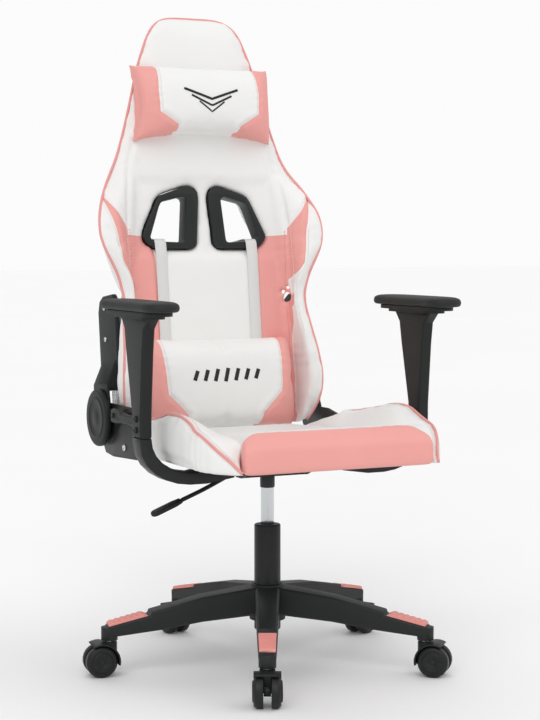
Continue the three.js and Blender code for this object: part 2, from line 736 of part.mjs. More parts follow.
// A flaring post with the two stepped flanges that carry the pad.
function armPost(side) {
  const flange = ARM_PAD_TOP - ARM_PAD_THICKNESS - GAP;
  const neck = flange - 12;
  const post = sidePrism([
    [ARM_FOOT_Y - 20, POST_BOTTOM],
    [ARM_FOOT_Y + 20, POST_BOTTOM],
    [ARM_FOOT_Y + 21, POST_BOTTOM + 40],
    [ARM_Y + 38, neck - 60],
    [ARM_Y + 46, neck - 20],
    [ARM_Y + 62, neck],
    [ARM_Y - 66, neck],
    [ARM_Y - 46, neck - 20],
    [ARM_Y - 40, neck - 60],
    [ARM_FOOT_Y - 20, POST_BOTTOM + 40],
  ], POST_THICKNESS, 3);
  const step = (length, width, low) => stadium(length, width, 7).translate(0, ARM_Y, low + 3.5);
  const lower = step(ARM_PAD_LENGTH - 100, ARM_PAD_WIDTH - 22, neck - 0.5);
  const upper = step(ARM_PAD_LENGTH - 50, ARM_PAD_WIDTH - 10, flange - 7);
  const body = join(post, lower, upper).translate(side * ARM_X, 0, 0);
  return part(sideName("arm_post", side), body, MATERIALS.blackPlastic);
}

// A flat plate with half-round ends, long along y.
function stadium(length, width, thickness, chamfer = 0) {
  const radius = width / 2;
  const reach = length / 2 - radius;
  const shape = new THREE.Shape();
  shape.absarc(0, reach, radius, 0, Math.PI, false);
  shape.absarc(0, -reach, radius, Math.PI, 2 * Math.PI, false);
  return prism(shape, thickness, chamfer);
}

function armPad(side) {
  const pad = stadium(ARM_PAD_LENGTH, ARM_PAD_WIDTH, ARM_PAD_THICKNESS, 3);
  pad.translate(side * ARM_X, ARM_Y, ARM_PAD_TOP - ARM_PAD_THICKNESS / 2);
  return part(sideName("arm_pad", side), pad, MATERIALS.blackPlastic);
}

// ---- Recline hinge, seat side ----

const BACK_PLATE_X = BRACKET_X + BRACKET_THICKNESS + RUN;
const CAP_X = BACK_PLATE_X + BRACKET_THICKNESS + GAP;

// A disc standing on the recline axis between two distances from the middle of the chair.
function hingeDisc(radius, from, to, sides = 16) {
  return rod(radius, from, to, sides).rotateY(Math.PI / 2);
}

function mirrored(geometry, side) {
  if (side > 0) return geometry;
  const solid = geometry.index ? geometry : mergeVertices(geometry);
  return flipped(solid.scale(-1, 1, 1));
}

// A steel plate down the side of the seat with the hinge stud; the left one is cut lower.
function seatBracket(side) {
  const top = side < 0 ? HINGE_Z + 31 : HINGE_Z + 7;
  const low = SEAT_BOTTOM - 20;
  const plate = sidePrism([
    [SEAT_REAR - 132, low + 8],
    [SEAT_REAR + 26, low],
    [HINGE_Y - 8, low + 4],
    [HINGE_Y + 22, HINGE_Z - 32],
    [HINGE_Y + 30, HINGE_Z],
    [HINGE_Y + 20, HINGE_Z + 22],
    [HINGE_Y, HINGE_Z + 30],
    [HINGE_Y - 18, HINGE_Z + 24],
    [HINGE_Y - 24, top],
    [SEAT_REAR - 74 + (side < 0 ? 0 : 60), top],
    [SEAT_REAR - 132, SEAT_BOTTOM + 37],
  ], BRACKET_THICKNESS);
  plate.translate(BRACKET_X + BRACKET_THICKNESS / 2, 0, 0);
  const stud = hingeDisc(STUD_RADIUS, BRACKET_X + 1, CAP_X + 6).translate(0, HINGE_Y, HINGE_Z);
  const pinHole = hingeDisc(LEVER_STUD_RADIUS + RUN, BRACKET_X - 1, BRACKET_X + BRACKET_THICKNESS + 1);
  pinHole.translate(0, LEVER_Y, LEVER_Z);
  const bracket = side < 0 ? cut(join(plate, stud), pinHole) : join(plate, stud);
  return part(sideName("seat_bracket", side), mirrored(bracket, side), MATERIALS.blackSteel);
}

// The lever that frees the recliner, pivoted on the right-hand bracket.
function reclineLever() {
  const grip = LEVER_LENGTH - 78;
  const inner = Math.max(BOLSTER_HALF_WIDTH, BRACKET_X + BRACKET_THICKNESS + 11) + 2.5;
  const arm = sidePrism([
    [12, -12], [12, 10], [0, 14], [-grip, 8], [-grip, -8], [-8, -14],
  ], 4).translate(inner + 2, LEVER_Y, LEVER_Z);
  const handle = sidePrism([
    [-grip + 14, -9], [-grip + 14, 9], [-LEVER_LENGTH + 4, 8], [-LEVER_LENGTH, 4],
    [-LEVER_LENGTH, -6], [-LEVER_LENGTH + 4, -10],
  ], 12, 3).translate(inner + 6, LEVER_Y, LEVER_Z);
  const pivot = hingeDisc(LEVER_STUD_RADIUS, BRACKET_X + RUN, inner + 7);
  pivot.translate(0, LEVER_Y, LEVER_Z);
  return part("recline_lever", mirrored(join(arm, handle, pivot), -1), MATERIALS.blackPlastic);
}

// The small return spring beside the hinge cap, as its outer shape.
function reclineSpring() {
  const spring = rod(3.5, 0, 20, 12);
  spring.rotateX(THREE.MathUtils.degToRad(14));
  spring.translate(-(BRACKET_X + BRACKET_THICKNESS + 5), LEVER_Y + 20, LEVER_Z + 26);
  return part("recline_spring", spring, MATERIALS.brightSteel);
}

// ---- Backrest ----

// Rows of the backrest from bottom to top:
// [z, half width, y of the wing's front edge, x where the wing starts].
const BACK_ROWS = [
  [-32, 186, -36, 170],
  [-22, 200, -58, 178],
  [-2, 210, -72, 179],
  [26, 215, -89, 179],
  [62, 217, -97, 179],
  [106, 213, -94, 179],
  [157, 207, -84, 178],
  [205, 203, -72, 172],
  [239, 203, -69, 166],
  [280, 214, -77, 162],
  [319, 234, -81, 160],
  [350, 247, -80, 158],
  [379, 249, -75, 156],
  [400, 247, -67, 154],
  [421, 239, -57, 152],
  [443, 228, -47, 150],
  [464, 214, -35, 148],
  [487, 198, -25, 146],
  [507, 188, BACK_FACE - 1, 144],
  [548, 174, BACK_FACE - 1, 136],
  [598, 159, BACK_FACE - 1, 124],
  [648, 146, BACK_FACE - 1, 112],
  [698, 132, BACK_FACE - 1, 100],
  [748, 114, BACK_FACE - 1, 84],
  [780, 97, BACK_FACE - 1, 66],
  [798, 81, BACK_FACE + 3, 50],
  [806, 61, BACK_FACE + 14, 36],
];

const HARNESS_HOLE = [
  [135, 359], [135, 351], [128, 341], [116, 332], [106, 330], [30, 330], [23, 332], [19, 338],
  [11, 432], [12, 445], [19, 454], [30, 458], [40, 457], [88, 441], [96, 437], [102, 429],
];
const HARNESS_OPENING = [
  [119, 355], [117, 348], [109, 345], [51, 343], [47, 345], [45, 350],
  [38, 427], [40, 433], [46, 436], [88, 426], [94, 422], [98, 415],
];

// The widest that the flat core may be: between the brackets low down, and narrow at the waist.
const CORE_LIMIT = [
  [-32, CORE_HALF_WIDTH],
  [157, CORE_HALF_WIDTH],
  [205, 182],
  [239, 168],
  [280, 168],
  [319, 178],
  [806, 178],
];

// How far the wings' sides run straight back from the front before they slope in to the core.
const WING_WALL = [[240, 38], [280, 38], [350, 12], [400, 4], [806, 4]];

// The half width of the core at the cushion's rear. Above the brackets the wings flare out from it.
function coreHalfWidth([z, half, front]) {
  const widest = Math.min(half - 10, along(CORE_LIMIT, z));
  return z <= UPRIGHT_TOP ? widest : Math.min(widest, half - WING_FLARE * (CUSHION_REAR - front));
}

function backCushion() {
  const rings = BACK_ROWS.map((row) => {
    const [z, half, front, foot] = row;
    const core = coreHalfWidth(row);
    const notch = Math.max(UPRIGHT_FRONT - 4, front + 16);
    const wallEnd = front + along(WING_WALL, z);
    const middle = (CUSHION_REAR + wallEnd) / 2;
    const side = z <= UPRIGHT_TOP
      ? [[core, notch], [half, notch - 2]]
      : [[(core + half) / 2, middle], [half - 1.5, wallEnd]];
    const face = Math.max(BACK_FACE, front);
    const ridge = Math.max(half - WING_THICKNESS, foot + 2);
    const rightHalf = [
      [core, CUSHION_REAR],
      ...side,
      [half, front + 1],
      [half - 3, front],
      [ridge, front],
      [foot, face],
    ];
    const leftHalf = rightHalf.map(([x, y]) => [-x, y]).reverse();
    return [...rightHalf, ...leftHalf].map(([x, y]) => [x, y, z]);
  });
  const cushion = cut(skinned(rings), harnessCut(-1), harnessCut(1));
  return part("back_cushion", cushion, MATERIALS.whiteLeather);
}

// The outline of the flat layers behind the cushion, `inset` inside its core.
function backOutline(inset) {
  const bottom = BACK_ROWS[0];
  const top = BACK_ROWS[BACK_ROWS.length - 1];
  const rows = BACK_ROWS.filter(([z]) => z > bottom[0] + inset && z < top[0] - inset);
  const right = [
    [coreHalfWidth(bottom) - inset, bottom[0] + inset],
    ...rows.map((row) => [coreHalfWidth(row) - inset, row[0]]),
    [Math.max(20, coreHalfWidth(top) - inset), top[0] - inset],
  ];
  return [...right, ...right.map(([x, z]) => [-x, z]).reverse()];
}

// The shape of the welded frame, a ring with two cross tubes, swollen by `extra` all round.
function frameShape(extra, thickness) {
  const sheet = frontPrism(backOutline(FRAME_INSET - extra), thickness);
  const inside = frontPrism(backOutline(FRAME_INSET + FRAME_TUBE + extra), thickness + 2);
  const cross = (half, low) => block(
    [-half, -thickness / 2, low - extra],
    [half, thickness / 2, low + FRAME_TUBE + extra],
  );
  return join(cut(sheet, inside), cross(148, 262), cross(142, 490));
}

function backFrame() {
  const frame = frameShape(0, FRAME_THICKNESS);
  frame.translate(0, CUSHION_REAR + 2 * GAP + FRAME_THICKNESS / 2, 0);
  return part("back_frame", frame, MATERIALS.blackSteel);
}

function harnessCut(side) {
  return mirrored(frontPrism(HARNESS_HOLE, 400), side);
}

// The rear shell, with a groove that the frame lies in.
function backCover() {
  const low = CUSHION_REAR + GAP;
  const shell = frontPrism(backOutline(COVER_INSET), BACK_REAR - low);
  shell.translate(0, (low + BACK_REAR) / 2, 0);
  const depth = FRAME_THICKNESS + 2 * GAP;
  const groove = frameShape(GAP, depth + 2).translate(0, low + depth / 2 - 1, 0);
  const cover = cut(shell, groove, harnessCut(-1), harnessCut(1));
  return part("back_cover", cover, MATERIALS.whiteLeather);
}

// A plastic ring lining the front of one harness hole.
function harnessBezel(side) {
  const low = BACK_FACE - BEZEL_PROUD;
  const high = low + BEZEL_DEPTH;
  const middle = (low + high) / 2;
  const centre = [78, 388];
  const shrink = (points, by) =>
    points.map(([x, z]) => {
      const length = Math.hypot(x - centre[0], z - centre[1]);
      return [x - ((x - centre[0]) * by) / length, z - ((z - centre[1]) * by) / length];
    });
  const ring = frontPrism(shrink(HARNESS_HOLE, GAP + 0.6), high - low).translate(0, middle, 0);
  const opening = frontPrism(HARNESS_OPENING, high - low + 2).translate(0, middle, 0);
  return part(sideName("harness_bezel", side), mirrored(cut(ring, opening), side), MATERIALS.blackPlastic);
}

// A strap that hangs from the harness hole down the face of the backrest, behind the lumbar cushion.
function lumbarStrap(side) {
  const x = side * STRAP_X;
  const face = BACK_FACE - GAP;
  const strap = block(
    [x - STRAP_WIDTH / 2, face - STRAP_THICKNESS, 60],
    [x + STRAP_WIDTH / 2, face, 328],
  );
  return part(sideName("lumbar_strap", side), strap, MATERIALS.webbing);
}

// The back's side of the hinge: a plate on the axis, and a flat upright cover beside the core
// that flares outwards at its foot to meet the plate.
function backBracket(side) {
  const low = CORE_HALF_WIDTH + 3;
  const plateFace = BACK_PLATE_X + BRACKET_THICKNESS;
  const plate = sidePrism([
    [-36, -22], [-14, -38], [14, -38], [36, -22], [40, 20], [36, 64], [-36, 64], [-42, 30],
  ], BRACKET_THICKNESS).translate(BACK_PLATE_X + BRACKET_THICKNESS / 2, 0, 0);
  const upright = sidePrism([
    [UPRIGHT_FRONT + 4, 52],
    [UPRIGHT_REAR - 10, 52],
    [UPRIGHT_REAR, 90],
    [UPRIGHT_REAR, UPRIGHT_TOP - 30],
    [UPRIGHT_REAR - 10, UPRIGHT_TOP - 8],
    [UPRIGHT_REAR - 28, UPRIGHT_TOP],
    [UPRIGHT_FRONT + 14, UPRIGHT_TOP],
    [UPRIGHT_FRONT + 2, UPRIGHT_TOP - 12],
    [UPRIGHT_FRONT, 90],
  ], UPRIGHT_THICKNESS, 2).translate(low + UPRIGHT_THICKNESS / 2, 0, 0);
  const flare = frontPrism([
    [low, 52], [plateFace, 52], [plateFace, 66], [low + UPRIGHT_THICKNESS, 112], [low, 112],
  ], 72);
  const bore = hingeDisc(STUD_RADIUS + RUN, BACK_PLATE_X - 1, plateFace + 1);
  const body = mirrored(cut(join(plate, upright, flare), bore), side);
  return part(sideName("back_bracket", side), body, MATERIALS.blackPlastic);
}

function hingeCap(side) {
  const radius = side < 0 ? CAP_RADIUS : SMALL_CAP_RADIUS;
  const profile = [
    [0, CAP_X + 7],
    [STUD_RADIUS + RUN, CAP_X + 7],
    [STUD_RADIUS + RUN, CAP_X],
    [radius, CAP_X],
    [radius, CAP_X + CAP_THICKNESS - 3],
    [radius - 3, CAP_X + CAP_THICKNESS],
    [0, CAP_X + CAP_THICKNESS],
  ];
  const cap = turned(profile, side < 0 ? 36 : 24).rotateY(Math.PI / 2);
  return part(sideName("hinge_cap", side), mirrored(cap, side), MATERIALS.blackPlastic);
}

// ---- Cushions on the backrest ----

const CUSHION_BACK = BACK_FACE - STRAP_THICKNESS - 3 * GAP;

// [share of the height, half width, depth in front of the backrest].
const LUMBAR_ROWS = [
  [0, 161, 0.62],
  [0.08, 170, 0.86],
  [0.35, 171, 1],
  [0.65, 162, 0.95],
  [0.9, 154, 0.7],
  [1, 148, 0.35],
];

function lumbarCushion() {
  const rings = LUMBAR_ROWS.map(([share, half, depth]) => {
    const z = LUMBAR_BOTTOM + share * LUMBAR_HEIGHT;
    const front = CUSHION_BACK - depth * LUMBAR_DEPTH;
    return [
      [half, CUSHION_BACK, z],
      [half, (CUSHION_BACK + front) / 2, z],
      [half - 24, front, z],
      [-half + 24, front, z],
      [-half, (CUSHION_BACK + front) / 2, z],
      [-half, CUSHION_BACK, z],
    ];
  });
  return part("lumbar_cushion", skinned(rings), MATERIALS.whiteLeather);
}

function headrestPillow() {
  const half = PILLOW_HALF_WIDTH;
  const shape = new THREE.Shape();
  shape.moveTo(-half, PILLOW_BOTTOM + 4);
  shape.quadraticCurveTo(0, PILLOW_BOTTOM + 26, half, PILLOW_BOTTOM + 4);
  shape.lineTo(half - 2, PILLOW_TOP - 6);
  shape.quadraticCurveTo(0, PILLOW_TOP + 6, -half + 2, PILLOW_TOP - 6);
  const pillow = prism(shape, PILLOW_DEPTH, 16).rotateX(Math.PI / 2);
  pillow.translate(0, CUSHION_BACK - PILLOW_DEPTH / 2, 0);
  return part("headrest_pillow", pillow, MATERIALS.whiteLeather);
}

function backAssembly() {
  const back = groupAt(
    0, HINGE_Y, HINGE_Z,
    backCushion(), backFrame(), backCover(), lumbarCushion(), headrestPillow(),
  );
  for (const side of [-1, 1]) {
    back.add(harnessBezel(side), lumbarStrap(side), backBracket(side), hingeCap(side));
  }
  back.rotation.x = -THREE.MathUtils.degToRad(BACK_LEAN);
  return back;
}

function seatAssembly() {
  const seat = groupAt(0, 0, 0, liftPlate(), seatFrame(), seatPad(), reclineLever(), reclineSpring());
  seat.add(leverRod(), leverPaddle());
  for (const side of [-1, 1]) {
    seat.add(seatBolster(side), seatBracket(side), armLeg(side), armPost(side), armPad(side));
  }
  return seat;
}

const chair = groupAt(
  COLUMN_X, COLUMN_Y, 0,
  baseAssembly(), gasLiftTube(), pistonRod(), gasCylinder(), releaseButton(),
  seatAssembly(), backAssembly(),
);

export default chair;
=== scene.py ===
"""Looks of a racing-style gaming chair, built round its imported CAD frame.

Every piece is placed from the frame's own boxes and joints. Lengths in the size fields are
millimetres unless a field says otherwise, and Blender's own units are metres.
"""

import json
import logging
import math
from dataclasses import dataclass, field
from enum import Enum
from typing import Callable, Iterable, Optional, Sequence

import bpy
import numpy as np
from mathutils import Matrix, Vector
from mathutils.bvhtree import BVHTree


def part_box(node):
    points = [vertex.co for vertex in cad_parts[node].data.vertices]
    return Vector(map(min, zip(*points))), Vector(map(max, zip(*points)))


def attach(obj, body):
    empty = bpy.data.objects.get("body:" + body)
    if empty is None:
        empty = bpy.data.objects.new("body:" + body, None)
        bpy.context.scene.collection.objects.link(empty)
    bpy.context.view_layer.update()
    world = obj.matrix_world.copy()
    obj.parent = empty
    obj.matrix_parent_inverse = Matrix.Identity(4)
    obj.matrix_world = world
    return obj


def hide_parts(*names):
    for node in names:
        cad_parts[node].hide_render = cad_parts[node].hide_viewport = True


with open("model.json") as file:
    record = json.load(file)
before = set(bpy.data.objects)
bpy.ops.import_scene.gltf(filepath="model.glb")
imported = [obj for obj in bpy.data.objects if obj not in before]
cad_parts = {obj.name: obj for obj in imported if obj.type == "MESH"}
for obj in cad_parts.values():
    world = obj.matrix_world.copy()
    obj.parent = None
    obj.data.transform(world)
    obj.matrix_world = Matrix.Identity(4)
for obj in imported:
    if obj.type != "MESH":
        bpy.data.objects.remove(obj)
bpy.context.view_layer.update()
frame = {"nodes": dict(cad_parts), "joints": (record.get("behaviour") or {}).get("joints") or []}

LOG = logging.getLogger("chair")
MM = 0.001
# Where the lines that lay pieces on a surface start, in millimetres: before the back, or beside it.
IN_FRONT = -400
BESIDE = 400

Point = Sequence[float]
Face = tuple[int, ...]


# ---- Frames of reference ----


class Side(Enum):
    """A side of the chair, as its sitter has it."""

    RIGHT = -1
    LEFT = 1

    @property
    def word(self) -> str:
        """The side's name, as the CAD nodes spell it."""
        return self.name.lower()


@dataclass(frozen=True)
class Place:
    """A local frame: its origin and its three axes, in the row frame."""

    origin: Vector
    across: Vector
    rear: Vector
    up: Vector

    def at(self, x: float, y: float, z: float) -> Vector:
        """The row-frame point at local millimetres."""
        return self.origin + (self.across * x + self.rear * y + self.up * z) * MM

    def axes(self) -> np.ndarray:
        """The axes as the rows of a matrix."""
        return np.array([self.across, self.rear, self.up], float)

    def local(self, points: np.ndarray) -> np.ndarray:
        """Row-frame points in local millimetres."""
        return (points - np.array(self.origin)) @ self.axes().T / MM

    def world(self, points: np.ndarray) -> np.ndarray:
        """Local millimetre points in the row frame."""
        return points @ self.axes() * MM + np.array(self.origin)

    def turn(self, direction: Point) -> Vector:
        """A local direction in the row frame."""
        x, y, z = direction
        return (self.across * x + self.rear * y + self.up * z).normalized()


def column_place() -> Place:
    """The frame that stands on the floor under the gas lift."""
    low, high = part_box("gas_lift_tube")
    middle = (low + high) / 2
    return Place(Vector((middle.x, middle.y, 0)), Vector((1, 0, 0)), Vector((0, 1, 0)), Vector((0, 0, 1)))


def back_place() -> Place:
    """The backrest's leaning frame, on the recline axis."""
    low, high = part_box("hinge_cap_right")
    slide = next(joint for joint in frame["joints"] if joint["name"] == "lumbar_slide")
    up = Vector(slide["axis"]).normalized()
    across = Vector((1, 0, 0))
    origin = (low + high) / 2
    origin.x = column_place().origin.x
    return Place(origin, across, up.cross(across), up)


COLUMN = column_place()
BACK = back_place()


def local_box(node: str, place: Place) -> tuple[np.ndarray, np.ndarray]:
    """Lowest and highest local corner of a CAD node, in millimetres."""
    points = place.local(vertices_of(frame["nodes"][node]))
    return points.min(0), points.max(0)


# ---- Meshes ----


def vertices_of(obj: bpy.types.Object) -> np.ndarray:
    """An object's vertices as an array of rows."""
    flat = np.zeros(len(obj.data.vertices) * 3)
    obj.data.vertices.foreach_get("co", flat)
    return flat.reshape(-1, 3)


def normals_of(obj: bpy.types.Object) -> np.ndarray:
    """An object's vertex normals as an array of rows."""
    flat = np.zeros(len(obj.data.vertices) * 3, np.float32)
    obj.data.vertex_normals.foreach_get("vector", flat)
    return flat.reshape(-1, 3).astype(float)


def set_vertices(obj: bpy.types.Object, points: np.ndarray) -> None:
    """Writes an array of rows back as an object's vertices."""
    obj.data.vertices.foreach_set("co", points.astype(np.float32).ravel())
    obj.data.update()


def mesh_object(name: str, points: Iterable[Point], faces: Iterable[Face]) -> bpy.types.Object:
    """A smooth-shaded mesh object in the row frame.

    Args:
        name: The piece's name.
        points: Its vertices, in metres.
        faces: Its faces, as vertex indices.

    Returns:
        The new object, linked to the scene.
    """
    mesh = bpy.data.meshes.new(name)
    mesh.from_pydata([tuple(point) for point in points], [], list(faces))
    mesh.validate()
    mesh.shade_smooth()
    obj = bpy.data.objects.new(name, mesh)
    bpy.context.scene.collection.objects.link(obj)
    return obj


def baked(obj: bpy.types.Object) -> bpy.types.Object:
    """Applies all of an object's modifiers to its mesh."""
    evaluated = obj.evaluated_get(bpy.context.evaluated_depsgraph_get())
    mesh = bpy.data.meshes.new_from_object(evaluated)
    obj.modifiers.clear()
    obj.data = mesh
    mesh.shade_smooth()
    return obj


def relax(obj: bpy.types.Object, times: int, share: float = 0.5) -> None:
    """Rounds a mesh by moving each vertex towards its neighbours' middle.

    Args:
        obj: The mesh object.
        times: How many passes to make.
        share: How far each pass moves a vertex.
    """
    count = len(obj.data.vertices)
    edges = np.zeros(len(obj.data.edges) * 2, np.int64)
    obj.data.edges.foreach_get("vertices", edges)
    a, b = edges.reshape(-1, 2).T
    degree = np.maximum(np.bincount(np.r_[a, b], minlength=count), 1)
    points = vertices_of(obj)
    for _ in range(times):
        total = np.stack(
            [np.bincount(a, points[b, k], count) + np.bincount(b, points[a, k], count) for k in range(3)], 1
        )
        points += share * (total / degree[:, None] - points)
    set_vertices(obj, points)


def swept(name: str, path: Sequence[Vector], section: Sequence[tuple[float, float]],
          closed: bool = False, side: Optional[Vector] = None) -> bpy.types.Object:
    """A section swept along a path.

    Args:
        name: The piece's name.
        path: The points that it follows, in metres.
        section: The section's outline as (across, out) metres, going round.
        closed: Whether the path returns to its start.
        side: The direction of the section's first axis, if it is fixed.

    Returns:
        The swept piece, capped unless it is closed.
    """
    count, width = len(path), len(section)
    points, previous = [], side
    for i, here in enumerate(path):
        after = path[(i + 1) % count] if closed or i + 1 < count else here
        before = path[i - 1] if closed or i else here
        ahead = (after - before).normalized()
        first = previous or ahead.orthogonal()
        first = (first - ahead * first.dot(ahead)).normalized()
        previous = side or first
        second = ahead.cross(first)
        points += [here + first * u + second * v for u, v in section]
    faces = []
    for i in range(count if closed else count - 1):
        low, high = i * width, ((i + 1) % count) * width
        faces += [(low + k, low + (k + 1) % width, high + (k + 1) % width, high + k) for k in range(width)]
    if not closed:
        faces += [tuple(reversed(range(width))), tuple(range((count - 1) * width, count * width))]
    return mesh_object(name, points, faces)


def circle(radius: float, sides: int = 10) -> list[tuple[float, float]]:
    """A round section, in metres."""
    return [
        (radius * math.cos(2 * math.pi * k / sides), radius * math.sin(2 * math.pi * k / sides))
        for k in range(sides)
    ]


def flat_section(width: float, thickness: float) -> list[tuple[float, float]]:
    """A flat strap's section with rounded edges, in metres."""
    u, v, edge = width / 2, thickness / 2, thickness / 3
    return [(-u, v - edge), (-u, edge - v), (edge - u, -v), (0, -v), (u - edge, -v), (u, edge - v),
            (u, v - edge), (u - edge, v), (0, v), (edge - u, v)]


def turned(name: str, centre: Vector, axis: Vector, profile: Sequence[tuple[float, float]], sides: int = 48,
           ripple: Optional[Callable[[float, float], float]] = None) -> bpy.types.Object:
    """A piece turned round an axis.

    Args:
        name: The piece's name.
        centre: Where height 0 of the profile stands.
        axis: The direction of the turning axis.
        profile: (radius, height) in millimetres, from the axis outwards and back down.
        sides: How many facets go round.
        ripple: Extra height in millimetres at an angle and a radius.

    Returns:
        The turned piece, closed on its axis.
    """
    first = axis.orthogonal().normalized()
    second = axis.cross(first)
    points = []
    for radius, height in profile:
        for k in range(sides):
            angle = 2 * math.pi * k / sides
            rise = height + (ripple(angle, radius) if ripple else 0)
            spoke = first * math.cos(angle) + second * math.sin(angle)
            points.append(centre + (spoke * radius + axis * rise) * MM)
    faces = []
    for ring in range(len(profile) - 1):
        low, high = ring * sides, (ring + 1) * sides
        faces += [(low + k, low + (k + 1) % sides, high + (k + 1) % sides, high + k) for k in range(sides)]
    faces += [tuple(reversed(range(sides))), tuple(range((len(profile) - 1) * sides, len(profile) * sides))]
    return mesh_object(name, points, faces)


def stitch_row(name: str, path: Sequence[Vector], outward: Sequence[Vector], pitch: float = 6.5,
               length: float = 4.6, radius: float = 0.65) -> bpy.types.Object:
    """A row of sewn stitches lying on a surface, as one piece.

    Args:
        name: The piece's name.
        path: The points that the row follows, in metres.
        outward: The surface's direction outwards at each point.
        pitch: The distance from stitch to stitch.
        length: One stitch's length.
        radius: The thread's half thickness.

    Returns:
        The row of stitches.
    """
    steps = np.array([0.0] + [(b - a).length for a, b in zip(path, path[1:])]).cumsum() / MM
    rows, normals = np.array([tuple(p) for p in path]), np.array([tuple(n) for n in outward])
    points: list[Vector] = []
    faces: list[Face] = []
    for start in np.arange(pitch / 2, steps[-1] - pitch / 2, pitch):
        ends = [Vector([np.interp(s, steps, rows[:, k]) for k in range(3)]) for s in (start, start + length)]
        normal = Vector([np.interp(start, steps, normals[:, k]) for k in range(3)]).normalized()
        ahead = (ends[1] - ends[0]).normalized()
        side = ahead.cross(normal)
        base = len(points)
        for share, swell in ((0, 0.25), (0.2, 0.9), (0.5, 1), (0.8, 0.9), (1, 0.25)):
            middle = ends[0].lerp(ends[1], share) + normal * (0.1 + 0.45 * swell) * radius * MM
            points += [
                middle + (side * math.cos(a) * 1.15 + normal * math.sin(a)) * radius * swell * MM
                for a in (math.pi * 2 * k / 6 for k in range(6))
            ]
        for ring in range(4):
            low = base + 6 * ring
            faces += [(low + k, low + (k + 1) % 6, low + 6 + (k + 1) % 6, low + 6 + k) for k in range(6)]
        faces += [tuple(base + 5 - k for k in range(6)), tuple(base + 24 + k for k in range(6))]
    return mesh_object(name, points, faces)


class Surface:
    """A finished soft surface that seams, piping and stitches are laid on."""

    def __init__(self, obj: bpy.types.Object, place: Place) -> None:
        """Keeps the surface's tree and its points in its local frame."""
        self.place = place
        polygons = [tuple(face.vertices) for face in obj.data.polygons]
        self.points = vertices_of(obj)
        self.local = place.local(self.points)
        self.tree = BVHTree.FromPolygons([tuple(p) for p in self.points], polygons)

    def onto(self, path: Sequence[Point], direction: Point,
             lift: float = 0.0) -> tuple[list[Vector], list[Vector]]:
        """Drops local points onto the surface.

        Args:
            path: Local points in millimetres, outside the surface.
            direction: The local direction that they travel in.
            lift: How far above the surface they stay, in millimetres.

        Returns:
            The points that met the surface and the surface's directions outwards there.
        """
        found, outward = [], []
        travel = self.place.turn(direction)
        for x, y, z in path:
            hit, normal, _, _ = self.tree.ray_cast(self.place.at(x, y, z), travel)
            if hit is not None:
                normal = -normal if normal.dot(travel) > 0 else normal
                found.append(hit + normal * lift * MM)
                outward.append(normal)
        return found, outward

    def rim(self, along: int, levels: Sequence[float], support: Point, keep: np.ndarray,
            window: float = 5.0) -> list[np.ndarray]:
        """The outermost local point of the surface in each of several slices.

        Args:
            along: The local axis that the slices are stacked on.
            levels: Where each slice is taken, in millimetres.
            support: The local direction that counts as outwards.
            keep: Which of the surface's points may be chosen.
            window: Half of a slice's thickness.

        Returns:
            One local point for each slice that has any.
        """
        reach = self.local @ np.array(support)
        chosen = []
        for level in levels:
            inside = keep & (np.abs(self.local[:, along] - level) < window)
            if inside.any():
                index = np.flatnonzero(inside)
                best = index[np.argsort(reach[index])[-6:]]
                middle = self.local[best].mean(0)
                middle[along] = level
                chosen.append(middle)
        return chosen


def smoothed(path: Sequence[np.ndarray], times: int = 3, closed: bool = False) -> list[np.ndarray]:
    """A polyline with its corners eased, its ends kept."""
    rows = np.array(path, float)
    for _ in range(times):
        eased = (np.roll(rows, 1, 0) + 2 * rows + np.roll(rows, -1, 0)) / 4
        if not closed:
            eased[0], eased[-1] = rows[0], rows[-1]
        rows = eased
    return list(rows)


def refined(path: Sequence[Point], step: float = 6.0) -> list[np.ndarray]:
    """A polyline with a point every few millimetres."""
    rows = np.array(path, float)
    lengths = np.r_[0, np.cumsum(np.linalg.norm(np.diff(rows, axis=0), axis=1))]
    at = np.linspace(0, lengths[-1], max(2, int(lengths[-1] / step) + 1))
    return [np.array([np.interp(s, lengths, rows[:, k]) for k in range(rows.shape[1])]) for s in at]


def distance_to(points: np.ndarray, line: Sequence[Point]) -> np.ndarray:
    """How far flat points are from a flat polyline."""
    nearest = np.full(len(points), np.inf)
    rows = np.array(line, float)
    for a, b in zip(rows, rows[1:]):
        along = b - a
        share = np.clip(((points - a) @ along) / max(along @ along, 1e-9), 0, 1)
        nearest = np.minimum(nearest, np.linalg.norm(points - a - share[:, None] * along, axis=1))
    return nearest


# ---- Materials ----


@dataclass(frozen=True)
class Colour:
    """A colour, kept as linear red, green and blue."""

    red: float
    green: float
    blue: float

    @staticmethod
    def srgb(red: int, green: int, blue: int) -> "Colour":
        """A colour from its 0 to 255 screen values."""
        return Colour(*(((c / 255 + 0.055) / 1.055) ** 2.4 if c > 10 else c / 3294.6 for c in (red, green, blue)))

    def rgba(self, gain: float = 1.0) -> tuple[float, float, float, float]:
        """The colour times a gain, with full alpha."""
        return (min(self.red * gain, 1), min(self.green * gain, 1), min(self.blue * gain, 1), 1)


WHITE = Colour.srgb(246, 246, 244)
PINK = Colour.srgb(245, 166, 159)
BLACK = Colour.srgb(27, 29, 29)


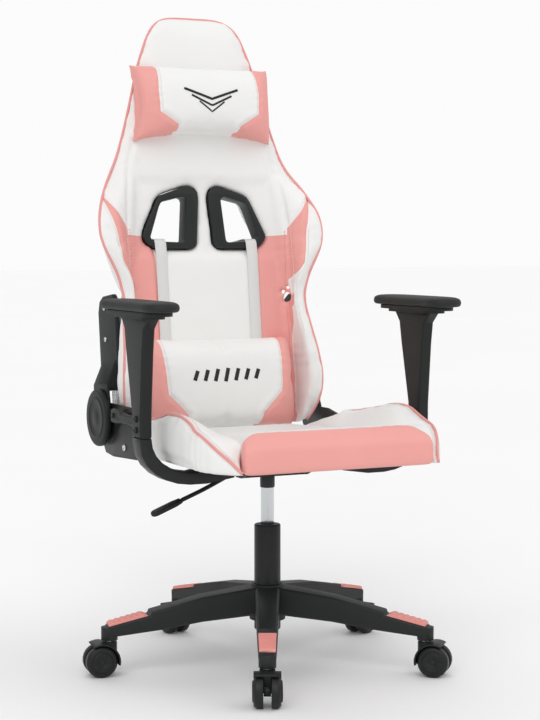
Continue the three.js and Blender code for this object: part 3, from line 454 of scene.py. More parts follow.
class Graph:
    """A material's node tree, with short ways to add to it."""

    def __init__(self, name: str) -> None:
        """Starts an empty node material with one Principled shader."""
        self.material = bpy.data.materials.new(name)
        self.material.use_nodes = True
        self.tree = self.material.node_tree
        self.shader = self.tree.nodes["Principled BSDF"]
        self.place = self.add("ShaderNodeTexCoord").outputs["Object"]

    def add(self, kind: str, inputs: Optional[dict] = None, **settings: object) -> bpy.types.Node:
        """Adds a node, sets it up and links or fills its inputs.

        Args:
            kind: The node's type.
            inputs: Values or sockets by the input's name or number.
            **settings: The node's own properties.

        Returns:
            The new node.
        """
        node = self.tree.nodes.new(kind)
        for key, value in settings.items():
            setattr(node, key, value)
        for key, value in (inputs or {}).items():
            self.put(node.inputs[key], value)
        return node

    def put(self, socket: bpy.types.NodeSocket, value: object) -> None:
        """Links a socket to another, or gives it a value."""
        if isinstance(value, bpy.types.NodeSocket):
            self.tree.links.new(value, socket)
        else:
            socket.default_value = value

    def math(self, operation: str, a: object, b: object = 0.0) -> bpy.types.NodeSocket:
        """The output of a Math node."""
        return self.add("ShaderNodeMath", {0: a, 1: b}, operation=operation).outputs[0]

    def mix(self, share: object, a: object, b: object) -> bpy.types.NodeSocket:
        """The output of a colour mix."""
        node = self.add("ShaderNodeMix", data_type="RGBA")
        for socket, value in zip((node.inputs[0], node.inputs[6], node.inputs[7]), (share, a, b)):
            self.put(socket, value)
        return node.outputs[2]

    def noise(self, scale: float, detail: float = 2.0, roughness: float = 0.5) -> bpy.types.NodeSocket:
        """A noise over the object, with cells per metre as its scale."""
        inputs = {"Vector": self.place, "Scale": scale, "Detail": detail, "Roughness": roughness}
        return self.add("ShaderNodeTexNoise", inputs).outputs["Fac"]

    def ranged(self, value: object, low: float, high: float) -> bpy.types.NodeSocket:
        """A 0 to 1 value stretched between two others."""
        return self.add("ShaderNodeMapRange", {"Value": value, "To Min": low, "To Max": high}).outputs["Result"]

    def bump(self, height: object, strength: float, distance: float, under: object = None) -> bpy.types.NodeSocket:
        """A bump of a height in metres, over another bump if one is given."""
        inputs = {"Height": height, "Strength": strength, "Distance": distance}
        if under is not None:
            inputs["Normal"] = under
        return self.add("ShaderNodeBump", inputs).outputs["Normal"]

    def finish(self, colour: object, roughness: object, normal: object, **uniform: float) -> bpy.types.Material:
        """Wires the shader and returns the material.

        Args:
            colour: The base colour.
            roughness: The roughness.
            normal: The bumped normal.
            **uniform: Other shader inputs that are the same all over, with _ for a space.

        Returns:
            The finished material.
        """
        for name, value in (("Base Color", colour), ("Roughness", roughness), ("Normal", normal)):
            self.put(self.shader.inputs[name], value)
        for name, value in uniform.items():
            self.shader.inputs[name.replace("_", " ")].default_value = value
        return self.material

    def local_axis(self, place: Place, axis: Vector) -> bpy.types.NodeSocket:
        """Metres along an axis from a place's origin."""
        moved = self.add("ShaderNodeVectorMath", {0: self.place, 1: tuple(place.origin)}, operation="SUBTRACT")
        return self.add("ShaderNodeVectorMath", {0: moved.outputs[0], 1: tuple(axis)},
                        operation="DOT_PRODUCT").outputs["Value"]

    def curve(self, value: object, table: Sequence[tuple[float, float]], span: float = 300.0) -> object:
        """Reads a table of (millimetre, millimetre) rows at a value in metres.

        Args:
            value: Where to read, in metres.
            table: Rows in rising order, whose results are from 0 to the span.
            span: The highest result that the curve can hold.

        Returns:
            The result, in metres.
        """
        low, high = table[0][0], table[-1][0]
        share = self.add("ShaderNodeMapRange", {"Value": value, "From Min": low * MM, "From Max": high * MM})
        node = self.add("ShaderNodeFloatCurve", {"Value": share.outputs["Result"]})
        line = node.mapping.curves[0]
        for _ in table[2:]:
            line.points.new(0.5, 0.5)
        for point, (at, result) in zip(line.points, table):
            point.location = ((at - low) / (high - low), result / span)
            point.handle_type = "VECTOR"
        node.mapping.update()
        return self.math("MULTIPLY", node.outputs[0], span * MM)


Mask = Callable[[Graph], bpy.types.NodeSocket]


@dataclass(frozen=True)
class Leather:
    """Smooth synthetic leather, in one colour or in two with a sewn border between them."""

    name: str
    main: Colour = WHITE
    second: Colour = PINK
    mask: Optional[Mask] = None

    def material(self) -> bpy.types.Material:
        """Builds the leather with pores, fine creases and slow changes of tone."""
        g = Graph(self.name)
        tone = g.noise(7.0, 3.0, 0.6)
        main = g.mix(tone, self.main.rgba(0.95), self.main.rgba(1.02))
        if self.mask is not None:
            second = g.mix(tone, self.second.rgba(0.93), self.second.rgba(1.03))
            main = g.mix(self.mask(g), main, second)
        cells = g.add("ShaderNodeTexVoronoi", {"Vector": g.place, "Scale": 620.0, "Randomness": 0.9},
                      feature="DISTANCE_TO_EDGE").outputs["Distance"]
        pores = g.math("MINIMUM", cells, 0.18)
        fine = g.noise(1500.0, 2.0)
        creases = g.noise(55.0, 5.0, 0.65)
        folds = g.noise(13.0, 2.0, 0.45)
        colour = g.mix(g.ranged(pores, 0.16, 0.0), main, g.mix(0.5, main, (0.35, 0.3, 0.3, 1)))
        normal = g.bump(folds, 0.55, 0.004)
        normal = g.bump(creases, 0.16, 0.0012, normal)
        normal = g.bump(pores, 0.35, 0.0006, normal)
        normal = g.bump(fine, 0.08, 0.0002, normal)
        unevenness = g.math("ADD", g.math("MULTIPLY", creases, 0.6), g.math("MULTIPLY", fine, 0.4))
        roughness = g.ranged(unevenness, 0.34, 0.56)
        return g.finish(colour, roughness, normal, Specular_IOR_Level=0.42, Coat_Weight=0.06, Coat_Roughness=0.35)


@dataclass(frozen=True)
class Moulded:
    """Moulded plastic or rubber with a spark-eroded texture and slightly worn edges."""

    name: str
    colour: Colour
    low: float = 0.42
    high: float = 0.6
    texture: float = 900.0

    def material(self) -> bpy.types.Material:
        """Builds the plastic."""
        g = Graph(self.name)
        texture = g.noise(self.texture, 3.0, 0.6)
        flow = g.noise(9.0, 3.0, 0.55)
        scuff = g.add("ShaderNodeTexNoise", {"Vector": g.place, "Scale": 160.0, "Detail": 4.0, "Distortion": 1.5})
        edge = g.add("ShaderNodeNewGeometry").outputs["Pointiness"]
        worn = g.math("MULTIPLY", g.ranged(g.math("GREATER_THAN", edge, 0.56), 0.0, 0.35), scuff.outputs["Fac"])
        body = g.mix(flow, self.colour.rgba(0.9), self.colour.rgba(1.12))
        colour = g.mix(worn, body, self.colour.rgba(2.2))
        normal = g.bump(flow, 0.12, 0.0015)
        normal = g.bump(texture, 0.3, 0.0004, normal)
        roughness = g.ranged(g.math("ADD", g.math("MULTIPLY", texture, 0.5), g.math("MULTIPLY", flow, 0.5)),
                             self.low, self.high)
        return g.finish(colour, roughness, normal, Specular_IOR_Level=0.3)


@dataclass(frozen=True)
class Painted:
    """Powder-coated steel with a fine orange peel."""

    name: str
    colour: Colour = Colour.srgb(25, 26, 27)

    def material(self) -> bpy.types.Material:
        """Builds the coating."""
        g = Graph(self.name)
        peel = g.noise(420.0, 2.0, 0.5)
        dust = g.noise(24.0, 4.0, 0.6)
        colour = g.mix(dust, self.colour.rgba(0.92), self.colour.rgba(1.2))
        normal = g.bump(peel, 0.25, 0.0005)
        return g.finish(colour, g.ranged(dust, 0.34, 0.52), normal, Specular_IOR_Level=0.3, Coat_Weight=0.08,
                        Coat_Roughness=0.25)


@dataclass(frozen=True)
class Bright:
    """Bright steel, ground round or drawn, that may turn into a black collar above a height."""

    name: str
    grain: tuple[float, float, float] = (60.0, 60.0, 2600.0)
    collar: Optional[float] = None

    def material(self) -> bpy.types.Material:
        """Builds the steel."""
        g = Graph(self.name)
        stretched = g.add("ShaderNodeVectorMath", {0: g.place, 1: self.grain}, operation="MULTIPLY").outputs[0]
        lines = g.add("ShaderNodeTexNoise", {"Vector": stretched, "Scale": 1.0, "Detail": 2.0}).outputs["Fac"]
        colour: object = g.mix(lines, (0.56, 0.58, 0.59, 1), (0.7, 0.72, 0.73, 1))
        roughness: object = g.ranged(lines, 0.16, 0.3)
        if self.collar is not None:
            height = g.add("ShaderNodeSeparateXYZ", {0: g.place}).outputs["Z"]
            above = g.math("GREATER_THAN", height, self.collar)
            colour = g.mix(above, colour, BLACK.rgba(0.8))
            g.put(g.shader.inputs["Metallic"], g.math("SUBTRACT", 1.0, above))
            roughness = g.math("ADD", roughness, g.math("MULTIPLY", above, 0.22))
        else:
            g.shader.inputs["Metallic"].default_value = 1.0
        return g.finish(colour, roughness, g.bump(lines, 0.08, 0.0002))


@dataclass(frozen=True)
class Woven:
    """Woven webbing: ribs across the strap, with yarns along it."""

    name: str
    colour: Colour = Colour.srgb(240, 240, 238)

    def material(self) -> bpy.types.Material:
        """Builds the weave."""
        g = Graph(self.name)
        parts = g.add("ShaderNodeSeparateXYZ", {0: g.place})
        warp = g.math("SINE", g.math("MULTIPLY", parts.outputs["X"], 3900.0))
        rise = g.math("ADD", parts.outputs["Z"], parts.outputs["Y"])
        weft = g.math("SINE", g.math("MULTIPLY", rise, 2600.0))
        weave = g.math("MULTIPLY", g.math("ADD", g.math("MULTIPLY", warp, weft), 1.0), 0.5)
        fuzz = g.noise(1300.0, 3.0, 0.7)
        colour = g.mix(g.math("MULTIPLY", weave, fuzz), self.colour.rgba(0.8), self.colour.rgba(1.02))
        normal = g.bump(fuzz, 0.2, 0.0003, g.bump(weave, 0.5, 0.0005))
        return g.finish(colour, g.ranged(fuzz, 0.75, 0.95), normal, Specular_IOR_Level=0.25)


@dataclass(frozen=True)
class Thread:
    """Twisted sewing thread."""

    name: str
    colour: Colour

    def material(self) -> bpy.types.Material:
        """Builds the thread."""
        g = Graph(self.name)
        parts = g.add("ShaderNodeSeparateXYZ", {0: g.place})
        slant = g.math("ADD", g.math("ADD", parts.outputs["X"], parts.outputs["Z"]), parts.outputs["Y"])
        twist = g.ranged(g.math("SINE", g.math("MULTIPLY", slant, 7000.0)), 0.3, 1.0)
        colour = g.mix(twist, self.colour.rgba(0.82), self.colour.rgba(1.05))
        fuzz = g.noise(2500.0)
        return g.finish(colour, g.ranged(fuzz, 0.5, 0.7), g.bump(twist, 0.4, 0.0002))


class Slot(Enum):
    """Names of the record's material slots, which no piece here takes its finish from."""

    WHITE = "white_leather"
    TWO_TONE = "pink_and_white_leather"
    PINK = "pink_plastic"
    PLASTIC = "black_plastic"
    BRIGHT = "bright_steel"
    WEBBING = "webbing"


class Palette:
    """The finishes that several parts of the chair share."""

    def __init__(self) -> None:
        """Builds each shared material once."""
        self.white = Leather("white_leather").material()
        self.pink = Leather("pink_leather", main=PINK).material()
        self.piping = Leather("pink_piping", main=Colour.srgb(240, 158, 154)).material()
        self.base_plastic = Moulded("glass_filled_nylon", Colour.srgb(34, 36, 36)).material()
        self.plastic = Moulded("black_moulded_plastic", BLACK).material()
        self.pad = Moulded("black_soft_pad", Colour.srgb(36, 38, 37), 0.5, 0.66, 600.0).material()
        self.wheel = Moulded("caster_wheel_nylon", Colour.srgb(28, 29, 30), 0.34, 0.5).material()
        self.bezel = Moulded("bezel_plastic", Colour.srgb(36, 40, 39), 0.36, 0.5).material()
        self.grip = Moulded("pink_grip_rubber", Colour.srgb(232, 150, 143), 0.5, 0.66, 500.0).material()
        self.painted = Painted("black_powder_coat").material()
        self.zinc = Bright("zinc_plated_screw", (900.0, 900.0, 900.0)).material()
        self.rod = Bright("ground_steel").material()
        self.webbing = Woven("white_webbing").material()
        self.white_thread = Thread("white_thread", Colour.srgb(236, 236, 234)).material()
        self.pink_thread = Thread("pink_thread", Colour.srgb(232, 150, 146)).material()
        self.black_thread = Thread("black_thread", Colour.srgb(24, 24, 26)).material()


def dress(obj: bpy.types.Object, material: bpy.types.Material) -> bpy.types.Object:
    """Gives an object one material."""
    if not obj.data.materials:
        obj.data.materials.append(material)
    for slot in obj.material_slots:
        slot.material = material
    return obj


def dress_node(name: str, material: bpy.types.Material, edge: float = 0.8) -> None:
    """Gives a CAD node its finish and softly broken edges.

    Args:
        name: The node's name.
        material: Its finish.
        edge: The width of the broken edge, in millimetres.
    """
    node = dress(frame["nodes"][name], material)
    node.data.polygons.foreach_set("use_smooth", [True] * len(node.data.polygons))
    weld = node.modifiers.new("Weld", "WELD")
    weld.merge_threshold = 1e-5
    bevel = node.modifiers.new("Edges", "BEVEL")
    bevel.width, bevel.segments = edge * MM, 2
    bevel.limit_method, bevel.angle_limit = "ANGLE", math.radians(30)
    bevel.harden_normals = True
    LOG.info("dressed %s", name)


def settle(obj: bpy.types.Object, body: str, material: Optional[bpy.types.Material] = None) -> bpy.types.Object:
    """Dresses a new piece, has it ride on a body and reports it.

    Args:
        obj: The piece, in place.
        body: The CAD body that it moves with.
        material: Its finish, if it has none yet.

    Returns:
        The same piece.
    """
    if material is not None:
        dress(obj, material)
    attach(obj, body)
    LOG.info("made %s on %s, %d faces", obj.name, body, len(obj.data.polygons))
    return obj


# ---- Padded pieces ----


@dataclass
class Padding:
    """How a padded skin is grown, rounded and inflated."""

    voxel: float = 5.0
    rounding: int = 8
    pressure: float = 4.0
    swell: float = 7.0
    settle_passes: int = 3
    frames: int = 20

    def from_node(self, name: str, node: str) -> bpy.types.Object:
        """Starts a skin from a copy of a CAD node's mesh."""
        source = frame["nodes"][node]
        obj = bpy.data.objects.new(name, source.data.copy())
        bpy.context.scene.collection.objects.link(obj)
        obj.data.materials.clear()
        weld = obj.modifiers.new("Weld", "WELD")
        weld.merge_threshold = 1e-5
        return self.rounded(obj)

    def rounded(self, obj: bpy.types.Object) -> bpy.types.Object:
        """Remeshes a closed form evenly and eases its edges."""
        remesh = obj.modifiers.new("Remesh", "REMESH")
        remesh.mode, remesh.voxel_size = "VOXEL", self.voxel * MM
        baked(obj)
        relax(obj, self.rounding)
        return obj

    def inflated(self, obj: bpy.types.Object, freedom: Callable[[np.ndarray, np.ndarray], np.ndarray],
                 place: Place) -> bpy.types.Object:
        """Inflates a skin as cloth, and holds it where it meets its neighbours.

        Args:
            obj: The rounded skin.
            freedom: From local points and normals, each point's share of the swell, from 0 to 1.
            place: The frame that the points are local to.

        Returns:
            The same piece, with the cloth applied and one subdivision.
        """
        before = vertices_of(obj)
        share = np.clip(freedom(place.local(before), normals_of(obj) @ place.axes().T), 0, 1)
        after = self.simulated(obj)
        move = after - before
        reach = np.linalg.norm(move, axis=1)
        allowed = self.swell * MM * share
        move *= np.where(reach > allowed, allowed / np.maximum(reach, 1e-9), 1)[:, None]
        set_vertices(obj, before + move)
        relax(obj, self.settle_passes)
        fine = obj.modifiers.new("Fine", "SUBSURF")
        fine.levels = fine.render_levels = 1
        return baked(obj)

    def simulated(self, obj: bpy.types.Object) -> np.ndarray:
        """Where the skin's points come to rest under air pressure alone."""
        cloth = obj.modifiers.new("Inflate", "CLOTH")
        cloth.settings.quality = 4
        cloth.settings.mass = 0.3
        cloth.settings.use_pressure = True
        cloth.settings.uniform_pressure_force = self.pressure
        cloth.settings.effector_weights.gravity = 0
        cloth.collision_settings.use_collision = False
        cloth.point_cache.frame_start, cloth.point_cache.frame_end = 1, self.frames
        scene = bpy.context.scene
        for number in range(1, self.frames + 1):
            scene.frame_set(number)
        evaluated = obj.evaluated_get(bpy.context.evaluated_depsgraph_get())
        flat = np.zeros(len(obj.data.vertices) * 3)
        evaluated.data.vertices.foreach_get("co", flat)
        obj.modifiers.remove(cloth)
        scene.frame_set(1)
        return flat.reshape(-1, 3)


def sewn(obj: bpy.types.Object, place: Place, lines: Sequence[Sequence[Point]], planes: tuple[int, int],
         facing: Point, depth: float = 3.0, width: float = 5.0, puff: float = 0.0) -> None:
    """Presses seams into a skin, seen along one local direction.

    Args:
        obj: The finished skin.
        place: The frame that the lines are local to.
        lines: Polylines in the two local axes of the planes, in millimetres.
        planes: Which two local axes the lines are drawn in.
        facing: The local direction that a sewn face looks in.
        depth: How deep the seams are.
        width: How wide the seams are.
        puff: How far the skin swells beside a seam.
    """
    points = vertices_of(obj)
    normals = normals_of(obj)
    local = place.local(points)
    facing_share = np.clip((normals @ place.axes().T) @ np.array(facing) * 2.5, 0, 1)
    flat = local[:, list(planes)]
    nearest = np.minimum.reduce([distance_to(flat, line) for line in lines])
    groove = depth * np.exp(-((nearest / width) ** 2))
    swell = puff * np.exp(-(((nearest - 2.6 * width) / (1.6 * width)) ** 2))
    points -= normals * ((groove - swell) * facing_share)[:, None] * MM
    set_vertices(obj, points)


def puckered(obj: bpy.types.Object, place: Place, line: Sequence[Point], planes: tuple[int, int],
             depth: float, pitch: float, reach: float) -> None:
    """Gathers small folds that run into a seam, as stretched leather has.

    Args:
        obj: The finished skin.
        place: The frame that the line is local to.
        line: The seam, in the two local axes of the planes.
        planes: Which two local axes the seam is drawn in.
        depth: How deep the folds are.
        pitch: The distance from fold to fold.
        reach: How far from the seam the folds die out.
    """
    points = vertices_of(obj)
    local = place.local(points)
    flat = local[:, list(planes)]
    nearest = distance_to(flat, line)
    phase = 2 * math.pi * (flat[:, 1] / pitch + 0.35 * np.sin(flat[:, 1] / 17.0) + 0.2 * np.sin(flat[:, 0] / 11.0))
    fold = depth * np.sin(phase) * np.exp(-((nearest / reach) ** 2)) * (0.6 + 0.4 * np.sin(flat[:, 1] / 41.0))
    points += normals_of(obj) * fold[:, None] * MM
    set_vertices(obj, points)


def both_sides(line: Sequence[Point]) -> list[list[Point]]:
    """A line on the chair's left and its mirror on the right, flat."""
    return [[(x, z) for x, z in line], [(-x, z) for x, z in line]]


# ---- Base ----


@dataclass
class Base:
    """The star base, its treads, casters and gas lift."""

    palette: Palette
    casters: int = 5
    cap_radius: float = 19.0
    cap_height: float = 1.6
    collar_height: float = 337.0

    def build(self) -> None:
        """Dresses the base's CAD parts and adds the caster caps."""
        dress_node("star_base", self.palette.base_plastic, 1.0)
        for k in range(1, self.casters + 1):
            dress_node(f"foot_grip_{k}", self.palette.grip, 0.5)
            dress_node(f"caster_stem_{k}", self.palette.zinc, 0.3)
            dress_node(f"caster_hood_{k}", self.palette.wheel, 0.7)
            for side in ("left", "right"):
                dress_node(f"caster_wheel_{k}_{side}", self.palette.wheel, 1.2)
                self.caster_cap(k, side)
        dress_node("gas_lift_tube", self.palette.painted, 0.6)
        dress_node("piston_rod", self.palette.rod, 0.3)
        dress_node("release_button", self.palette.zinc, 0.4)
        cylinder = Bright("gas_cylinder_steel", collar=self.collar_height * MM).material()
        dress_node("gas_cylinder", cylinder, 0.4)

    def caster_cap(self, k: int, side: str) -> None:
        """Adds the ribbed cap on the outer face of one wheel."""
        own, other = (
            sum(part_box(f"caster_wheel_{k}_{word}"), Vector()) / 2
            for word in (side, "right" if side == "left" else "left")
        )
        axis = (own - other).normalized()
        face = own + axis * self.face_reach(f"caster_wheel_{k}_{side}", own, axis)
        h, r = self.cap_height, self.cap_radius
        profile = [
            (0.01, h), (3.5, h), (4.2, h - 0.9), (5.2, h - 0.9), (6, h - 0.2), (r - 5, h - 0.6),
            (r - 3.6, h), (r - 1.6, h), (r, h * 0.3), (r, -0.8), (0.01, -0.8),
        ]

        def ribs(angle: float, at: float) -> float:
            return 0.55 * max(0.0, math.cos(5 * angle)) ** 4 if 6 <= at <= r - 4 else 0.0

        cap = turned(f"caster_cap_{k}_{side}", face, axis, profile, 60, ribs)
        settle(cap, f"wheel_{k}_{side}", self.palette.wheel)

    @staticmethod
    def face_reach(node: str, centre: Vector, axis: Vector) -> float:
        """How far a node reaches from a centre along an axis, in metres."""
        points = vertices_of(frame["nodes"][node]) - np.array(centre)
        return float((points @ np.array(axis)).max())


# ---- Seat ----


@dataclass
class Seat:
    """The seat's padded skins, its frame and the lift plate with its lever."""

    palette: Palette
    pink_edge: float = -256.0
    piping: float = 2.4
    bolster: Padding = field(default_factory=lambda: Padding(4.0, 9, 4.0, 7.0))
    pad: Padding = field(default_factory=lambda: Padding(5.0, 6, 4.0, 8.0))

    def build(self) -> None:
        """Builds the seat from the plate up."""
        for node in ("lift_plate", "seat_frame", "height_lever_rod"):
            dress_node(node, self.palette.painted, 0.8)
        dress_node("height_lever_paddle", self.palette.plastic, 1.0)
        self.build_pad()
        for side in Side:
            self.build_bolster(side)
        self.plate_bolts()

    def front_colour(self, g: Graph) -> bpy.types.NodeSocket:
        """The pink panel over the seat's front edge."""
        return g.math("LESS_THAN", g.local_axis(COLUMN, COLUMN.rear), self.pink_edge * MM)

    def build_pad(self) -> None:
        """Grows the centre pad with its pink front panel."""
        low, high = local_box("seat_pad", COLUMN)
        pad = self.pad.from_node("seat_pad_cushion", "seat_pad")

        def freedom(points: np.ndarray, normals: np.ndarray) -> np.ndarray:
            up = np.clip(normals[:, 2] * 1.6, 0, 1)
            front = np.clip(-normals[:, 1] * 1.4, 0, 1) * 0.6
            edge = np.clip((high[0] - np.abs(points[:, 0])) / 25, 0.4, 1)
            return np.maximum(up, front) * edge

        self.pad.inflated(pad, freedom, COLUMN)
        seam = [(-190.0, self.pink_edge), (190.0, self.pink_edge)]
        sewn(pad, COLUMN, [seam], (0, 1), (0, 0, 1), 2.6, 4.0, 0.8)
        panel = [(-118.0, self.pink_edge), (-112.0, 60.0), (-104.0, high[1])]
        sewn(pad, COLUMN, [panel, [(-x, y) for x, y in panel]], (0, 1), (0, 0, 1), 1.6, 4.5, 0.6)
        puckered(pad, COLUMN, seam, (1, 0)[::-1], 0.35, 21.0, 16.0)
        dress(pad, Leather("seat_pad_leather", mask=self.front_colour).material())
        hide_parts("seat_pad")
        settle(pad, "seat")
        surface = Surface(pad, COLUMN)
        for name, y, thread in (("front", self.pink_edge - 4.5, self.palette.pink_thread),
                                ("rear", self.pink_edge + 4.5, self.palette.white_thread)):
            path = [(x, y, high[2] + 60) for x in np.arange(-176, 177, 8)]
            row = stitch_row(f"seat_stitches_{name}", *surface.onto(path, (0, 0, -1)))
            settle(row, "seat", thread)
        for side in Side:
            path = [(side.value * (abs(x) + 4), y, high[2] + 60) for x, y in refined(panel, 8)]
            row = stitch_row(f"seat_panel_stitches_{side.word}", *surface.onto(path, (0, 0, -1)))
            settle(row, "seat", self.palette.white_thread)

    def build_bolster(self, side: Side) -> None:
        """Grows one side bolster with the piping along its crest."""
        sign, node = side.value, f"seat_bolster_{side.word}"
        low, high = local_box(node, COLUMN)
        skin = self.bolster.from_node(f"{node}_cushion", node)

        def freedom(points: np.ndarray, normals: np.ndarray) -> np.ndarray:
            outward = np.clip(normals[:, 0] * sign, 0, 1)
            inward = np.clip(-normals[:, 0] * sign, 0, 1)
            up = np.clip(normals[:, 2], 0, 1)
            rise = np.clip((points[:, 2] - low[2]) / 25, 0, 1)
            above = np.clip((points[:, 2] - low[2] - 50) / 25, 0, 1)
            return rise * np.maximum.reduce([up, outward * 0.8, inward * above * 0.9])

        self.bolster.inflated(skin, freedom, COLUMN)
        surface = Surface(skin, COLUMN)
        outside = np.sign(surface.local[:, 0]) == sign
        levels = np.arange(low[1] + 3, high[1] - 4, 7)
        crest = smoothed(surface.rim(1, levels, (sign * 0.42, 0, 0.9), outside), 4)
        seam = [(float(p[1]), float(p[2])) for p in crest]
        sewn(skin, COLUMN, [seam], (1, 2), (sign * 0.7, 0, 0.7), 1.6, 4.0)
        puckered(skin, COLUMN, [(float(p[0]), float(p[1])) for p in crest], (0, 1), 0.4, 24.0, 22.0)
        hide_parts(node)
        settle(skin, "seat", self.palette.white)
        path = [COLUMN.at(*p) for p in crest]
        piping = swept(f"seat_piping_{side.word}", path, circle(self.piping * MM))
        settle(piping, "seat", self.palette.piping)
        inner = [(p[0] - sign * 9, p[1], p[2] + 60) for p in crest[3:]]
        row = stitch_row(f"seat_crest_stitches_{side.word}", *surface.onto(inner, (0, 0, -1)))
        settle(row, "seat", self.palette.white_thread)

    def plate_bolts(self) -> None:
        """Adds the four screws that hold the seat frame to the lift plate."""
        low, high = local_box("lift_plate", COLUMN)
        for x in (low[0] + 22, high[0] - 22):
            for y in (low[1] + 14, high[1] - 14):
                name = f"plate_screw_{'r' if x < 0 else 'l'}{'f' if y < 0 else 'b'}"
                screw_head(name, COLUMN.at(x, y, high[2] - 4), -COLUMN.up, "seat", self.palette.zinc, 7.5)


def screw_head(name: str, at: Vector, outward: Vector, body: str, material: bpy.types.Material,
               radius: float = 5.5) -> None:
    """Adds a socket-head screw lying on a face.

    Args:
        name: The piece's name.
        at: The middle of the face under the head.
        outward: The direction that the head looks in.
        body: The body that it rides on.
        material: Its finish.
        radius: The head's radius.
    """
    socket, height = radius * 0.46, radius * 0.55
    profile = [
        (0.01, height * 0.35), (socket, height * 0.35), (socket, height), (radius * 0.8, height),
        (radius, height * 0.6), (radius, -0.6), (0.01, -0.6),
    ]
    settle(turned(name, at, outward, profile, 24), body, material)


# ---- Armrests ----


@dataclass
class Armrests:
    """The bent legs, the flaring posts and the soft pads."""

    palette: Palette
    pad: Padding = field(default_factory=lambda: Padding(3.0, 7, 4.0, 1.6))

    def build(self) -> None:
        """Dresses both legs and posts, and grows both pads."""
        for side in Side:
            dress_node(f"arm_leg_{side.word}", self.palette.painted, 1.6)
            dress_node(f"arm_post_{side.word}", self.palette.plastic, 1.8)
            self.build_pad(side)
            self.foot_screws(side)

    def build_pad(self, side: Side) -> None:
        """Grows one soft pad with a gently crowned top."""
        node = f"arm_pad_{side.word}"
        low, high = local_box(node, COLUMN)
        pad = self.pad.from_node(f"{node}_cushion", node)
        points = COLUMN.local(vertices_of(pad))
        middle = (low + high) / 2
        u = (points[:, 0] - middle[0]) / (high[0] - low[0]) * 2
        v = (points[:, 1] - middle[1]) / (high[1] - low[1]) * 2
        crown = 1.8 * np.clip(1 - u**2, 0, 1) * np.clip(1 - v**4, 0, 1)
        points[:, 2] += np.where(points[:, 2] > middle[2], crown, 0)
        set_vertices(pad, COLUMN.world(points))
        self.pad.inflated(pad, lambda p, n: np.clip(n[:, 2], 0, 1), COLUMN)
        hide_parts(node)
        settle(pad, "seat", self.palette.pad)

    def foot_screws(self, side: Side) -> None:
        """Adds the screws at the foot of one post."""
        node = f"arm_post_{side.word}"
        low = local_box(node, COLUMN)[0]
        leg_low, leg_high = local_box(f"arm_leg_{side.word}", COLUMN)
        post = Surface(baked_copy(node), COLUMN)
        for number, rise in ((1, 14), (2, 34)):
            start = (side.value * 500, (leg_low[1] + leg_high[1]) / 2, low[2] + rise)
            found, outward = post.onto([start], (-side.value, 0, 0))
            if found:
                name = f"arm_screw_{side.word}_{number}"
                screw_head(name, found[0], outward[0], "seat", self.palette.plastic, 6.0)


# ---- Recline hinge ----


@dataclass
class Hinge:
    """The brackets, caps, levers and the return spring."""

    palette: Palette
    coils: int = 9
    wire: float = 0.85

    def build(self) -> None:
        """Dresses the hinge's CAD parts and adds its screws, rings and coil."""
        for side in Side:
            dress_node(f"seat_bracket_{side.word}", self.palette.painted, 0.8)
            dress_node(f"back_bracket_{side.word}", self.palette.plastic, 1.2)
            dress_node(f"hinge_cap_{side.word}", self.palette.plastic, 1.6)
            self.cap_rings(side)
            self.cover_screws(side)
        dress_node("recline_lever", self.palette.plastic, 1.2)
        self.coil()

    def cap_rings(self, side: Side) -> None:
        """Adds the raised rings and the centre plug of one cap."""
        low, high = local_box(f"hinge_cap_{side.word}", BACK)
        radius = (high[2] - low[2]) / 2
        outer = high[0] if side is Side.LEFT else low[0]
        axis = BACK.across * side.value
        centre = BACK.at(outer, 0, 0)
        inner, outer_ring = radius * 0.62, radius * 0.72
        profile = [
            (0.01, 1.2), (radius * 0.2, 1.2), (radius * 0.24, 0.3), (inner, 0.3), (inner + 1, 1.1),
            (outer_ring, 1.1), (outer_ring + 1.2, -0.5), (0.01, -0.5),
        ]
        settle(turned(f"hinge_ring_{side.word}", centre, axis, profile, 72), "backrest", self.palette.plastic)

    def cover_screws(self, side: Side) -> None:
        """Adds the screws of one upright cover and one seat bracket."""
        sign = side.value
        low, high = local_box(f"back_bracket_{side.word}", BACK)
        face = Surface(baked_copy(f"back_bracket_{side.word}"), BACK)
        for number, z in ((1, high[2] - 86), (2, high[2] - 24)):
            found, outward = face.onto([(sign * BESIDE, 12, z)], (-sign, 0, 0))
            if found:
                name = f"cover_screw_{side.word}_{number}"
                screw_head(name, found[0], outward[0], "backrest", self.palette.zinc, 5)
        plate = Surface(baked_copy(f"seat_bracket_{side.word}"), COLUMN)
        seat_low = local_box(f"seat_bracket_{side.word}", COLUMN)[0]
        for number, y in ((1, seat_low[1] + 30), (2, seat_low[1] + 96)):
            found, outward = plate.onto([(sign * BESIDE, y, seat_low[2] + 24)], (-sign, 0, 0))
            if found:
                name = f"bracket_screw_{side.word}_{number}"
                screw_head(name, found[0], outward[0], "seat", self.palette.zinc, 6.5)

    def coil(self) -> None:
        """Winds the return spring in place of its outer shape."""
        points = vertices_of(frame["nodes"]["recline_spring"])
        middle = points.mean(0)
        _, _, rows = np.linalg.svd(points - middle, full_matrices=False)
        axis = Vector(rows[0])
        axis = axis if axis.z > 0 else -axis
        reach = float(np.abs((points - middle) @ np.array(axis)).max())
        radius = float(np.linalg.norm(np.cross(points - middle, np.array(axis)), axis=1).max()) - self.wire * MM
        first = axis.orthogonal().normalized()
        second = axis.cross(first)
        path = []
        for k in range(self.coils * 16 + 1):
            angle, share = 2 * math.pi * k / 16, k / (self.coils * 16) * 2 - 1
            path.append(Vector(middle) + axis * share * (reach - self.wire * MM)
                        + (first * math.cos(angle) + second * math.sin(angle)) * radius)
        spring = swept("recline_coil", path, circle(self.wire * MM, 8))
        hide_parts("recline_spring")
        settle(spring, "seat", self.palette.rod)


